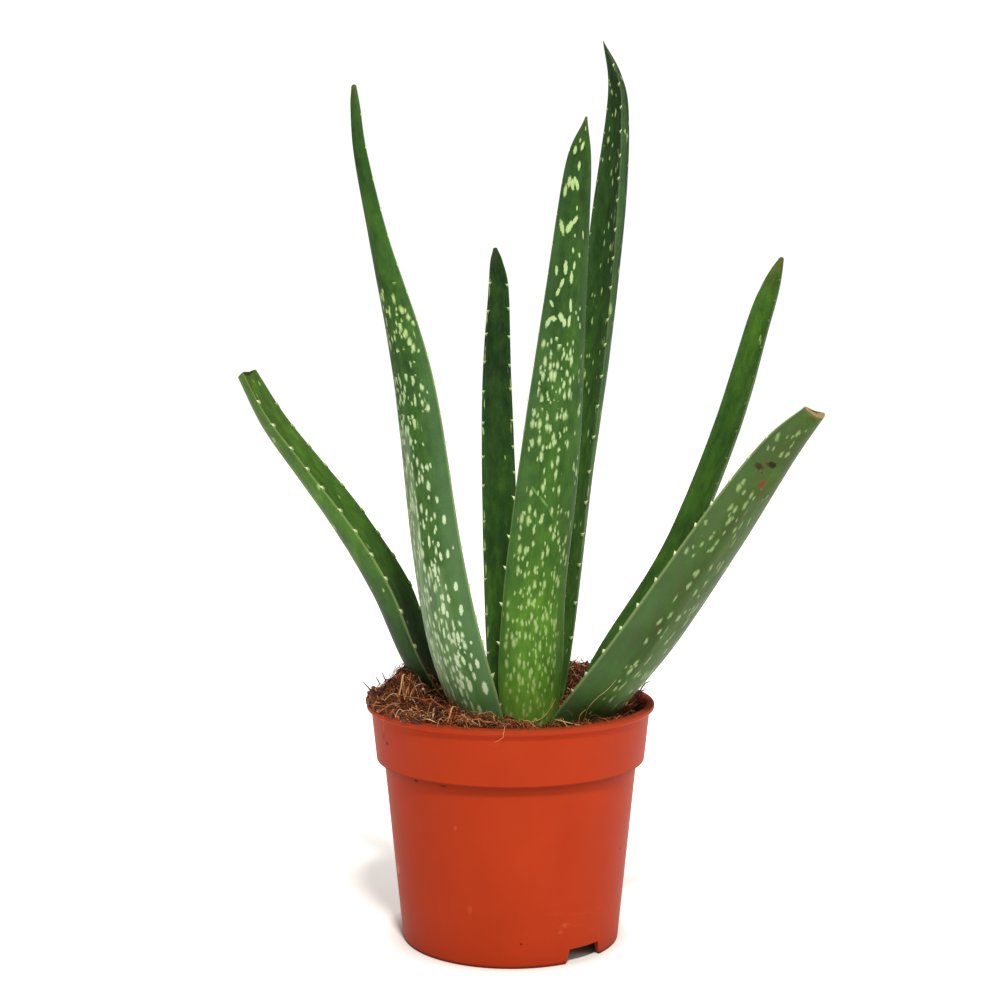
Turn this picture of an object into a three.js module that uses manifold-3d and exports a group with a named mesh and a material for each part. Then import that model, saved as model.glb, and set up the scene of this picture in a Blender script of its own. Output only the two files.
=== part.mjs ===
// A potted aloe: seven thick, toothed leaves on a short stem, in coir soil, in a plastic nursery pot.
// Millimetres, +Z up. The origin is the centre of the pot's foot, on the surface that it stands on.
// -Y is the front. Each leaf, the stem, the soil and the pot is a mesh of its own.
import * as THREE from "three";
import { mergeVertices } from "three/addons/utils/BufferGeometryUtils.js";
import Module from "manifold-3d";

const wasm = await Module();
wasm.setup();

// Pot: a 12 cm injection moulded nursery pot with a collar, a rolled lip and a raised floor
const POT_HEIGHT = 100;
const RIM_RADIUS = 60;
const LIP_RADIUS = 1.4;
const LIP_ARC_STEPS = 4;
const COLLAR_TOP_RADIUS = 58;
const COLLAR_FOOT_RADIUS = 55.9;
const COLLAR_FOOT_Z = 76;
const COLLAR_FOOT_ROUNDING = 0.4;
const BODY_TOP_RADIUS = 52.8;
const FOOT_RADIUS = 45.2;
const WALL = 1.4;
const FOOT_WALL = 2;
const FLOOR_UNDERSIDE_Z = 6;
const FLOOR_THICKNESS = 1.6;
const POT_SEGMENTS = 56;

// Drainage: notches through the skirt below the floor, and round holes in the floor
const NOTCH_AZIMUTHS = [41, 221];
const NOTCH_FOOT_WIDTH = 18.7;
const NOTCH_TOP_WIDTH = 15.7;
const FLOOR_HOLES = 6;
const FLOOR_HOLE_RADIUS = 4;
const FLOOR_HOLE_CIRCLE = 30;
const FLOOR_HOLE_SEGMENTS = 12;

// Soil: level, slope towards +X, the broad rises and dips of its surface, and the waves that make it lumpy
const SOIL_LEVEL = 97;
const SOIL_SLOPE = -0.015;
const SOIL_RISES = [
  { x: -40, y: 13, rise: 12.5, spread: 11 },
  { x: 31, y: 40, rise: 11, spread: 13 },
  { x: -28, y: -34, rise: 2, spread: 18 },
  { x: 12, y: -29, rise: -6, spread: 11 },
  { x: 46, y: 8, rise: 2, spread: 14 },
];
const SOIL_LUMPS = [
  { height: 0.8, x: 0.34, y: 0.12, phase: 1.3 },
  { height: 0.7, x: -0.16, y: 0.37, phase: 0.4 },
  { height: 0.5, x: 0.63, y: -0.52, phase: 0.8 },
  { height: 0.4, x: 0.31, y: 0.87, phase: 2.1 },
];
const SOIL_EDGE_BAND = 4.5;
const SOIL_EDGE_LUMPS = 0.4;
const SOIL_RINGS = 13;
const SOIL_SEGMENTS = 48;

// Coir fibres: strands that arch out of the soil and back, with both ends sunk in it
const FIBRES = 32;
const FIBRE_RADIUS = 0.5;
const FIBRE_LENGTH = [12, 28];
const FIBRE_ARCH = [1, 4.5];
const FIBRE_BOW = 5;
const FIBRE_SPREAD = 50;
const FIBRE_SUNK = 1.2;
const FIBRE_EDGE = 3;
const FIBRE_STEPS = 4;
const FIBRE_SIDES = 3;

// Clearance between pieces that touch
const GAP = 0.3;

// Stem under the soil: it narrows to a foot below, and to a crown between the leaf bases
const STEM = { x: 5, y: 2.5, radius: 7, foot: 44, top: 84, footRadius: 3.5, crownRadius: 4.2 };
const STEM_FOOT_LENGTH = 14;
const STEM_CROWN_LENGTH = 4;
const STEM_SEGMENTS = 16;

// Leaves. A station is the spine's x, y and z with the leaf's width there, from the root to the tip.
// Facing is the azimuth, from +X towards +Y, that the rounded outer face turns to at the root and at the tip.
// Belly and channel are the outer face's height and the inner face's hollow as shares of the width.
const LEAVES = [
  {
    name: "leaf_low_left",
    facing: [168, 160],
    belly: 0.47,
    channel: 0.15,
    stations: [
      [-2.4, 4.4, 71, 5],
      [-17, 9, 89, 17],
      [-34, 12, 115, 23],
      [-47.3, 17, 146.9, 26.4],
      [-65.4, 24, 173.7, 23.6],
      [-84.4, 30, 196.7, 19.8],
      [-100.6, 35, 216.3, 16.5],
      [-112.8, 38, 236.2, 12.3],
    ],
  },
  {
    name: "leaf_tall_left",
    facing: [222, 232],
    belly: 0.36,
    channel: 0.08,
    stations: [
      [-0.2, -3, 70, 5],
      [-7.5, -11, 86, 20],
      [-14.5, -16, 104, 28],
      [-22.2, -20, 130, 29.8],
      [-29.1, -26, 168, 26.8],
      [-37.9, -36, 235, 20.5],
      [-50.6, -45, 288, 9.9],
      [-57.2, -50, 320, 6.7],
      [-58.9, -52, 337, 4.5],
      [-59.4, -52.8, 345.5, 1.4],
    ],
  },
  {
    name: "leaf_inner_short",
    facing: [95, 90],
    belly: 0.34,
    channel: 0.12,
    stations: [
      [1.8, 9.4, 79, 4.5],
      [-2, 12, 96, 12],
      [-3, 17, 125, 15],
      [-4.9, 26, 190, 14.5],
      [-5.7, 34, 235, 12.3],
      [-4.8, 39, 270, 9],
      [-6, 42, 289, 1],
    ],
  },
  {
    name: "leaf_front",
    facing: [290, 284],
    belly: 0.33,
    channel: 0.06,
    stations: [
      [7, -4.9, 77, 5],
      [8, -9, 90, 21],
      [8, -11, 110, 28],
      [10, -14, 150, 27],
      [16, -19, 205, 25],
      [22.1, -25, 272, 16.7],
      [26.2, -31, 317, 10.8],
      [29, -34, 335, 1.2],
    ],
  },
  {
    name: "leaf_tall_back",
    facing: [58, 16],
    belly: 0.38,
    channel: 0.14,
    stations: [
      [8.2, 9.4, 77, 5],
      [13.5, 10.5, 95, 17],
      [18.3, 15, 125, 20.2],
      [26.5, 32, 190, 21.8],
      [35.5, 48, 250, 22.5],
      [42.2, 64, 310, 23.8],
      [46.2, 73, 350, 18],
      [45.9, 76, 367, 10.4],
      [42, 78, 382, 1],
    ],
  },
  {
    name: "leaf_right_back",
    facing: [25, 30],
    belly: 0.33,
    channel: 0.1,
    stations: [
      [12.2, 4.9, 70, 5],
      [28, 10, 90, 17],
      [42.7, 14, 116.1, 21.4],
      [70.8, 26, 160.1, 18.3],
      [93.5, 38, 212, 16.5],
      [108, 45, 257.7, 13.6],
      [113.6, 47, 273, 9.8],
      [118, 48, 284.5, 1.6],
    ],
  },
  {
    name: "leaf_right_front",
    facing: [318, 312],
    belly: 0.33,
    channel: 0.08,
    stations: [
      [11.2, -1.9, 69, 5],
      [20, -11, 84, 20],
      [31, -17, 101, 32],
      [53, -34, 133, 34.8],
      [79, -54, 176, 30],
      [98.9, -68, 208.1, 21.6],
      [112, -77, 224, 12],
    ],
  },
];
const LEAF_RINGS = 24;
const OUTER_FACETS = 6;
const INNER_FACETS = 4;
const BELLY_ROUNDNESS = 0.72;

// Teeth: thorns along both margins, closer together and smaller towards the tip
const TOOTH_START_Z = 114;
const TOOTH_SPACING = [16, 10.5];
const TOOTH_LENGTH = [2.4, 1.3];
const TOOTH_FOOT = 3;
const TOOTH_THICKNESS = 1.3;
const TOOTH_SUNK = 1;
const TOOTH_LEAN = 25;

const radians = THREE.MathUtils.degToRad;
const mix = THREE.MathUtils.lerp;

// A repeatable random draw from 0 to 1
function seededRandom(seed) {
  let state = seed;
  return () => {
    state = (state * 1664525 + 1013904223) % 4294967296;
    return state / 4294967296;
  };
}

// The closed geometry as a manifold solid
function solidFrom(geometry, mergeDistance = 1e-4) {
  const bare = new THREE.BufferGeometry();
  bare.setAttribute("position", geometry.getAttribute("position"));
  if (geometry.index) bare.setIndex(geometry.index);
  const merged = mergeVertices(bare, mergeDistance);
  const solid = new wasm.Manifold(
    new wasm.Mesh({
      numProp: 3,
      vertProperties: merged.getAttribute("position").array,
      triVerts: new Uint32Array(merged.index.array),
    }),
  );
  return solid;
}

// The manifold solid as a geometry for a mesh
function geometryFrom(solid) {
  const mesh = solid.getMesh();
  const geometry = new THREE.BufferGeometry();
  geometry.setAttribute("position", new THREE.BufferAttribute(mesh.vertProperties, 3));
  geometry.setIndex(new THREE.BufferAttribute(mesh.triVerts, 1));
  geometry.computeVertexNormals();
  return geometry;
}

// The largest body of a solid, with vertices closer than the merge distance joined
function largestBody(solid) {
  const settled = solidFrom(geometryFrom(solid), 1e-3);
  return settled.decompose().sort((a, b) => b.volume() - a.volume())[0];
}

// A closed geometry through rings of points, all with the same count, with a fan at each end
function loft(rings) {
  const count = rings[0].length;
  const points = rings.flat();
  const faces = [];
  for (let i = 0; i + 1 < rings.length; i++) {
    for (let k = 0; k < count; k++) {
      const a = i * count + k;
      const b = i * count + ((k + 1) % count);
      faces.push(a, b, b + count, a, b + count, a + count);
    }
  }
  for (const [ring, turned] of [[0, true], [rings.length - 1, false]]) {
    const centre = rings[ring].reduce((sum, p) => sum.add(p), new THREE.Vector3());
    points.push(centre.divideScalar(count));
    for (let k = 0; k < count; k++) {
      const a = ring * count + k;
      const b = ring * count + ((k + 1) % count);
      faces.push(...(turned ? [points.length - 1, b, a] : [points.length - 1, a, b]));
    }
  }
  const geometry = new THREE.BufferGeometry().setFromPoints(points);
  geometry.setIndex(faces);
  return geometry;
}

// A leaf's spine, and its width at the same parameter
function leafCurves(leaf) {
  const along = (points) => new THREE.CatmullRomCurve3(points, false, "catmullrom", 0.5);
  return {
    spine: along(leaf.stations.map(([x, y, z]) => new THREE.Vector3(x, y, z))),
    girth: along(leaf.stations.map((station) => new THREE.Vector3(station[3], 0, 0))),
  };
}

// Where the leaf is at a share of its length, which way it runs, turns outwards and is wide
function leafFrame(leaf, curves, share) {
  const t = curves.spine.getUtoTmapping(share);
  const tangent = curves.spine.getTangent(t);
  const azimuth = radians(mix(leaf.facing[0], leaf.facing[1], share));
  const outward = new THREE.Vector3(Math.cos(azimuth), Math.sin(azimuth), 0);
  outward.addScaledVector(tangent, -outward.dot(tangent)).normalize();
  return {
    centre: curves.spine.getPoint(t),
    width: curves.girth.getPoint(t).x,
    tangent,
    outward,
    across: new THREE.Vector3().crossVectors(tangent, outward),
  };
}

// The leaf's section as a ring of points: the rounded outer face, then the hollow inner face.
// Grown all round, it has a narrow side wall at each margin too.
function leafRing(leaf, frame, grow) {
  const half = frame.width / 2 + grow;
  const belly = leaf.belly * frame.width;
  const channel = leaf.channel * frame.width;
  const at = (u, height) =>
    frame.centre
      .clone()
      .addScaledVector(frame.across, u * half)
      .addScaledVector(frame.outward, height);
  const ring = [];
  for (let k = 0; k <= OUTER_FACETS; k++) {
    const u = -Math.cos((Math.PI * k) / OUTER_FACETS);
    ring.push(at(u, belly * Math.pow(Math.max(0, 1 - u * u), BELLY_ROUNDNESS) + grow));
  }
  const skip = grow > 0 ? 0 : 1;
  for (let k = skip; k <= INNER_FACETS - skip; k++) {
    const u = Math.cos((Math.PI * k) / INNER_FACETS);
    ring.push(at(u, channel * (1 - u * u) - grow));
  }
  return ring;
}

// The leaf's smooth body; grow makes it larger all round, for the hole that it stands in
function leafBody(leaf, grow = 0) {
  const curves = leafCurves(leaf);
  const rings = [];
  for (let i = 0; i <= LEAF_RINGS; i++) {
    rings.push(leafRing(leaf, leafFrame(leaf, curves, i / LEAF_RINGS), grow));
  }
  if (grow > 0) {
    const { tangent } = leafFrame(leaf, curves, 0);
    rings.unshift(rings[0].map((p) => p.clone().addScaledVector(tangent, -2 * grow)));
  }
  return solidFrom(loft(rings));
}

// One thorn: a flat pyramid sunk into the margin and leaning towards the tip
function tooth(frame, side, length) {
  const lean = radians(TOOTH_LEAN);
  const out = frame.across.clone().multiplyScalar(side);
  const point = out.clone().multiplyScalar(Math.cos(lean)).addScaledVector(frame.tangent, Math.sin(lean));
  const margin = frame.centre.clone().addScaledVector(out, frame.width / 2);
  const foot = (along, up) =>
    margin
      .clone()
      .addScaledVector(out, -TOOTH_SUNK)
      .addScaledVector(frame.tangent, (along * TOOTH_FOOT) / 2)
      .addScaledVector(frame.outward, (up * TOOTH_THICKNESS) / 2);
  const corners = [foot(-1, 0), foot(0, -1), foot(1, 0), foot(0, 1)];
  const tip = margin.clone().addScaledVector(point, length);
  const geometry = new THREE.BufferGeometry().setFromPoints([...corners, tip]);
  geometry.setIndex([0, 1, 4, 1, 2, 4, 2, 3, 4, 3, 0, 4, 0, 2, 1, 0, 3, 2]);
  if (side < 0) geometry.index.array.reverse();
  return solidFrom(geometry);
}

// All thorns of a leaf, on both margins, with slightly uneven steps
function teeth(leaf, seed) {
  const curves = leafCurves(leaf);
  const length = curves.spine.getLength();
  const random = seededRandom(seed);
  const made = [];
  for (const side of [-1, 1]) {
    let distance = 6 * random();
    while (distance < length - 9) {
      const share = distance / length;
      const frame = leafFrame(leaf, curves, share);
      if (frame.centre.z > TOOTH_START_Z && frame.width > 3) {
        made.push(tooth(frame, side, mix(...TOOTH_LENGTH, share)));
      }
      distance += mix(...TOOTH_SPACING, share) * (0.85 + 0.3 * random());
    }
  }
  return made;
}

function leafSolid(leaf, index) {
  return wasm.Manifold.union([leafBody(leaf), ...teeth(leaf, 11 + 7 * index)]);
}

// The pot's outside from the foot to the lip, as radius and height
const POT_OUTSIDE = [
  [FOOT_RADIUS, 0],
  [BODY_TOP_RADIUS, COLLAR_FOOT_Z],
  [COLLAR_FOOT_RADIUS - COLLAR_FOOT_ROUNDING, COLLAR_FOOT_Z],
  [COLLAR_FOOT_RADIUS, COLLAR_FOOT_Z + COLLAR_FOOT_ROUNDING],
  [COLLAR_TOP_RADIUS, POT_HEIGHT - 2 * LIP_RADIUS],
];

// The pot's inside from the floor to the lip
const POT_INSIDE = [
  [FOOT_RADIUS - WALL + 0.6, FLOOR_UNDERSIDE_Z + FLOOR_THICKNESS],
  [BODY_TOP_RADIUS - WALL, COLLAR_FOOT_Z + WALL],
  [COLLAR_FOOT_RADIUS - WALL, COLLAR_FOOT_Z + 2 * WALL],
  [COLLAR_TOP_RADIUS - WALL, POT_HEIGHT],
];

// The inside radius of the pot at a height, on the straight stretches between those points
function insideRadius(z) {
  for (let i = 0; i + 1 < POT_INSIDE.length; i++) {
    const [r0, z0] = POT_INSIDE[i];
    const [r1, z1] = POT_INSIDE[i + 1];
    if (z <= z1) return mix(r0, r1, Math.max(0, (z - z0) / (z1 - z0)));
  }
  return POT_INSIDE.at(-1)[0];
}

// A profile of radius and height turned about an upright axis at x and y
function turned(profile, segments, x = 0, y = 0) {
  const geometry = new THREE.LatheGeometry(
    profile.map(([r, z]) => new THREE.Vector2(r, z)),
    segments,
  );
  return solidFrom(geometry.rotateX(Math.PI / 2).translate(x, y, 0));
}

// A wedge that opens one drainage notch in the skirt, up to the floor's underside.
// The notch at azimuth 0 is at the front.
function notchCutter(azimuth) {
  const outline = new THREE.Shape([
    new THREE.Vector2(-NOTCH_FOOT_WIDTH / 2, -1),
    new THREE.Vector2(NOTCH_FOOT_WIDTH / 2, -1),
    new THREE.Vector2(NOTCH_TOP_WIDTH / 2, FLOOR_UNDERSIDE_Z),
    new THREE.Vector2(-NOTCH_TOP_WIDTH / 2, FLOOR_UNDERSIDE_Z),
  ]);
  const depth = 8 * FOOT_WALL;
  const geometry = new THREE.ExtrudeGeometry(outline, { depth, bevelEnabled: false });
  geometry.rotateX(Math.PI / 2);
  geometry.translate(0, depth / 2 - FOOT_RADIUS, 0);
  return solidFrom(geometry.rotateZ(radians(azimuth)));
}

function floorHoleCutter(index) {
  const height = 4 * FLOOR_THICKNESS;
  const geometry = new THREE.CylinderGeometry(
    FLOOR_HOLE_RADIUS,
    FLOOR_HOLE_RADIUS,
    height,
    FLOOR_HOLE_SEGMENTS,
  );
  geometry.rotateX(Math.PI / 2);
  geometry.translate(FLOOR_HOLE_CIRCLE, 0, FLOOR_UNDERSIDE_Z);
  return solidFrom(geometry.rotateZ((2 * Math.PI * (index + 0.5)) / FLOOR_HOLES));
}

function potSolid() {
  const lip = [];
  for (let k = 0; k <= LIP_ARC_STEPS; k++) {
    const angle = Math.PI * (k / LIP_ARC_STEPS - 0.5);
    lip.push([
      RIM_RADIUS - LIP_RADIUS + LIP_RADIUS * Math.cos(angle),
      POT_HEIGHT - LIP_RADIUS + LIP_RADIUS * Math.sin(angle),
    ]);
  }
  const underside = [
    [0, FLOOR_UNDERSIDE_Z],
    [FOOT_RADIUS - FOOT_WALL, FLOOR_UNDERSIDE_Z],
    [FOOT_RADIUS - FOOT_WALL, 0],
  ];
  const inside = [...POT_INSIDE].reverse();
  const floorTop = [[0, FLOOR_UNDERSIDE_Z + FLOOR_THICKNESS]];
  const cutters = [
    ...NOTCH_AZIMUTHS.map(notchCutter),
    ...Array.from({ length: FLOOR_HOLES }, (_, i) => floorHoleCutter(i)),
  ];
  return turned([...underside, ...POT_OUTSIDE, ...lip, ...inside, ...floorTop], POT_SEGMENTS)
    .subtract(wasm.Manifold.union(cutters));
}

// The soil's height: level, broad rises and small lumps, which grow flatter at the pot's wall
function soilHeight(x, y) {
  const edge = insideRadius(SOIL_LEVEL) - Math.hypot(x, y);
  const inner = THREE.MathUtils.smoothstep(edge, 0, SOIL_EDGE_BAND);
  let z = SOIL_LEVEL + SOIL_SLOPE * x;
  for (const { x: cx, y: cy, rise, spread } of SOIL_RISES) {
    z += rise * inner * Math.exp(-(((x - cx) ** 2 + (y - cy) ** 2) / (2 * spread ** 2)));
  }
  for (const lump of SOIL_LUMPS) {
    const wave = lump.height * Math.sin(lump.x * x + lump.y * y + lump.phase);
    z += wave * mix(SOIL_EDGE_LUMPS, 1, inner);
  }
  return z;
}

// The plug of soil: a lumpy top, and sides that follow the pot's inside at the clearance
function soilPlug() {
  const floor = FLOOR_UNDERSIDE_Z + FLOOR_THICKNESS + GAP;
  const angle = (k) => (2 * Math.PI * k) / SOIL_SEGMENTS;
  const ringOf = (pointAt) => Array.from({ length: SOIL_SEGMENTS }, (_, k) => pointAt(angle(k)));
  const wall = (z) =>
    ringOf((a) => {
      const r = insideRadius(z) - 1.4 * GAP;
      return new THREE.Vector3(r * Math.cos(a), r * Math.sin(a), z);
    });
  const rings = [floor, POT_INSIDE[1][1], POT_INSIDE[2][1]].map(wall);
  const rough = insideRadius(SOIL_LEVEL);
  const edge = (a) => insideRadius(soilHeight(rough * Math.cos(a), rough * Math.sin(a))) - 1.4 * GAP;
  for (let i = SOIL_RINGS; i > 0; i--) {
    rings.push(
      ringOf((a) => {
        const x = ((edge(a) * i) / SOIL_RINGS) * Math.cos(a);
        const y = ((edge(a) * i) / SOIL_RINGS) * Math.sin(a);
        return new THREE.Vector3(x, y, soilHeight(x, y));
      }),
    );
  }
  return solidFrom(loft(rings));
}

// One coir fibre, from three corners a step; it is kept off the pot's wall
function fibre(random) {
  const reach = FIBRE_SPREAD * Math.sqrt(random());
  const place = 2 * Math.PI * random();
  const heading = 2 * Math.PI * random();
  const length = mix(...FIBRE_LENGTH, random());
  const arch = mix(...FIBRE_ARCH, random());
  const bow = FIBRE_BOW * (random() - 0.5);
  const forward = new THREE.Vector3(Math.cos(heading), Math.sin(heading), 0);
  const sideways = new THREE.Vector3(-forward.y, forward.x, 0);
  const middle = new THREE.Vector3(reach * Math.cos(place), reach * Math.sin(place), 0);
  const rings = [];
  for (let i = 0; i <= FIBRE_STEPS; i++) {
    const share = i / FIBRE_STEPS;
    const rise = Math.sin(Math.PI * share);
    const at = middle.clone().addScaledVector(forward, (share - 0.5) * length);
    at.addScaledVector(sideways, bow * rise);
    at.clampLength(0, insideRadius(SOIL_LEVEL) - FIBRE_EDGE);
    at.z = soilHeight(at.x, at.y) - FIBRE_SUNK + (arch + FIBRE_SUNK) * rise;
    const ring = [];
    for (let k = 0; k < FIBRE_SIDES; k++) {
      const angle = (2 * Math.PI * k) / FIBRE_SIDES;
      const corner = at.clone().addScaledVector(sideways, FIBRE_RADIUS * Math.cos(angle));
      corner.z += FIBRE_RADIUS * Math.sin(angle);
      ring.push(corner);
    }
    rings.push(ring);
  }
  return solidFrom(loft(rings));
}

function stemSolid(grow = 0) {
  const r = STEM.radius + grow;
  const profile = [
    [0, STEM.foot - grow],
    [STEM.footRadius + grow, STEM.foot - grow],
    [r, STEM.foot + STEM_FOOT_LENGTH],
    [r, STEM.top - STEM_CROWN_LENGTH],
    [STEM.crownRadius + grow, STEM.top + grow],
    [0, STEM.top + grow],
  ];
  return turned(profile, STEM_SEGMENTS, STEM.x, STEM.y);
}

function soilSolid() {
  const random = seededRandom(29);
  const fibres = Array.from({ length: FIBRES }, () => fibre(random));
  const holes = [...LEAVES.map((leaf) => leafBody(leaf, GAP)), stemSolid(GAP)];
  const soil = wasm.Manifold.union([soilPlug(), ...fibres]).subtract(wasm.Manifold.union(holes));
  return largestBody(soil);
}

const plastic = new THREE.MeshStandardMaterial({ color: "#bc3f22", roughness: 0.42, metalness: 0 });
const coir = new THREE.MeshStandardMaterial({ color: "#5c3420", roughness: 0.95, metalness: 0 });
const stemFlesh = new THREE.MeshStandardMaterial({ color: "#b9b27a", roughness: 0.7, metalness: 0 });
const leafSkin = new THREE.MeshStandardMaterial({ color: "#3f6b33", roughness: 0.45, metalness: 0 });

function named(name, solid, material) {
  const mesh = new THREE.Mesh(geometryFrom(solid), material);
  mesh.name = name;
  return mesh;
}

const pottedAloe = new THREE.Group();
pottedAloe.add(named("pot", potSolid(), plastic));
pottedAloe.add(named("soil", soilSolid(), coir));
pottedAloe.add(named("stem", stemSolid(), stemFlesh));
LEAVES.forEach((leaf, index) => pottedAloe.add(named(leaf.name, leafSolid(leaf, index), leafSkin)));

export default pottedAloe;
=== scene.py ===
"""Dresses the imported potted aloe: fine leaves with thorns and spots, coir with loose strands, a moulded pot.

Lengths in the tables are millimetres in the part's frame, and those in the node trees are metres.
"""

import functools
import math

import bpy
import numpy as np
from mathutils import Matrix, Vector


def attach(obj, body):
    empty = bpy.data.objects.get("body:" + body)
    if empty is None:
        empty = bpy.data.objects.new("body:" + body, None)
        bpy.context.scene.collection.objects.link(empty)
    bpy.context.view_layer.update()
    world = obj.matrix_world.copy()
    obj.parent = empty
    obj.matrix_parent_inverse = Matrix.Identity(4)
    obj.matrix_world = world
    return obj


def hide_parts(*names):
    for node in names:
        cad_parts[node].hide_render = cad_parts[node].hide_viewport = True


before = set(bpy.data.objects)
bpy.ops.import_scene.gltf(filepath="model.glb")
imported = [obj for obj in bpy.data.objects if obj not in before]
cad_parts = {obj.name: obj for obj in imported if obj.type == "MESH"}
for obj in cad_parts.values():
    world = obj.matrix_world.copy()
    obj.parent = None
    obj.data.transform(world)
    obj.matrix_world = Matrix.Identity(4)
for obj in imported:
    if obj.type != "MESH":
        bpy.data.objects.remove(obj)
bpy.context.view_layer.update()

MM = 0.001
NODE_FAMILIES = ("ShaderNode", "GeometryNode", "FunctionNode", "Node")

# Camera: as far and as high as the photograph's, looking slightly down
CAMERA_PLACE = (-4.37, -745, 250)
CAMERA_PITCH = 5.09
CAMERA_LENS = 65

# Pot: the profile as radius, height and corner rounding, from the underside's centre to the floor's top
POT_PROFILE = [
    (0, 6, 0), (43.2, 6, 0.6), (43.2, 0, 0.3), (45.2, 0, 0.5), (52.8, 75.9, 0.2), (55.9, 76.05, 0.45),
    (58.1, 97.1, 0.15), (59.5, 97.25, 0.35), (60.0, 97.9, 0.5), (60.0, 99.4, 0.6), (58.9, 100.0, 0.6),
    (57.2, 100.0, 0.5), (56.6, 99.2, 0.6), (54.5, 78.8, 1.2), (51.4, 77.4, 1.2), (44.4, 7.6, 1.2),
    (0, 7.6, 0),
]
NOTCH_AZIMUTHS = [41, 221]
NOTCH_FOOT_WIDTH = 18.7
NOTCH_TOP_WIDTH = 15.7
# How much further a notch has opened to each side a millimetre under the foot, where its cutter starts
NOTCH_FLARE = 0.25
NOTCH_CUT_RADII = (38, 54)
FLOOR_UNDERSIDE_Z = 6
FLOOR_HOLES = 6
FLOOR_HOLE_SIDES = 40
FLOOR_HOLE_CUT_HEIGHTS = (3, 11)
FLOOR_HOLE_RADIUS = 4
FLOOR_HOLE_CIRCLE = 30
POT_RAIL_RADIUS = 50
POT_SIDES = 192
POT_CORNER_STEPS = 4
# Marks on the wall: the centre, the half sizes, the colour and how strong it is
POT_MARKS = [
    ((-16.4, -44.7, 24.0), (1.1, 1.5, 2.4), "#c05a38", 0.22),
    ((21.6, -41.6, 16.8), (2.2, 1.5, 1.2), "#c8653f", 0.22),
    ((19.7, -42.3, 14.2), (1.3, 1.5, 1.1), "#c8653f", 0.22),
    ((-21.9, -46.0, 57.5), (0.7, 1.5, 1.6), "#c05a38", 0.35),
    ((-46.6, -12.8, 31.5), (1.0, 2.0, 2.6), "#d98f70", 0.5),
    ((-49.9, -27.7, 87.5), (1.1, 1.8, 0.9), "#2e120a", 0.85),
    ((-51.5, -25.4, 90.0), (0.7, 1.5, 2.6), "#4a1a10", 0.6),
    ((-37.8, -37.0, 74.3), (1.2, 2.0, 0.7), "#2e120a", 0.85),
    ((-26.8, -45.3, 74.3), (1.6, 2.0, 0.5), "#2e120a", 0.7),
    ((44.8, -20.9, 42.2), (0.8, 1.2, 0.7), "#4a120a", 0.8),
    ((4.0, -46.1, 10.5), (0.8, 1.2, 0.6), "#5e140c", 0.8),
]

# Soil: the same level, slope, rises and waves as the solid under it
SOIL_LEVEL = 97
SOIL_SLOPE = -0.015
SOIL_RISES = [(-40, 13, 12.5, 11), (31, 40, 11, 13), (-28, -34, 2, 18), (12, -29, -8, 12), (46, 8, 0, 14)]
SOIL_LUMPS = [
    (0.8, 0.34, 0.12, 1.3), (0.7, -0.16, 0.37, 0.4), (0.5, 0.63, -0.52, 0.8), (0.4, 0.31, 0.87, 2.1),
]
SOIL_EDGE_BAND = 4.5
SOIL_EDGE_LUMPS = 0.4
SOIL_WALL = [(44.4, 7.6), (51.4, 77.4), (54.5, 78.8), (56.6, 100)]
SOIL_WALL_HEIGHTS = (7.9, 40, 77.4, 78.8)
SOIL_CLEARANCE = 0.42
SOIL_RINGS = 130
SOIL_SIDES = 400

# Where coir has spilled on the rim: the ledge as radius and height, its middle azimuth and half its width
SPILL_LEDGE = [(53.5, 98), (56, 100.6), (58.8, 101.2), (60.2, 99.6)]
SPILL_AZIMUTH = 192
SPILL_HALF_WIDTH = 48
SPILL_FADE = 18
SPILL_SIDES = 120
# Coir lies on the faces of the soil that are all above this
SPILL_FROM_Z = 84

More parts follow.
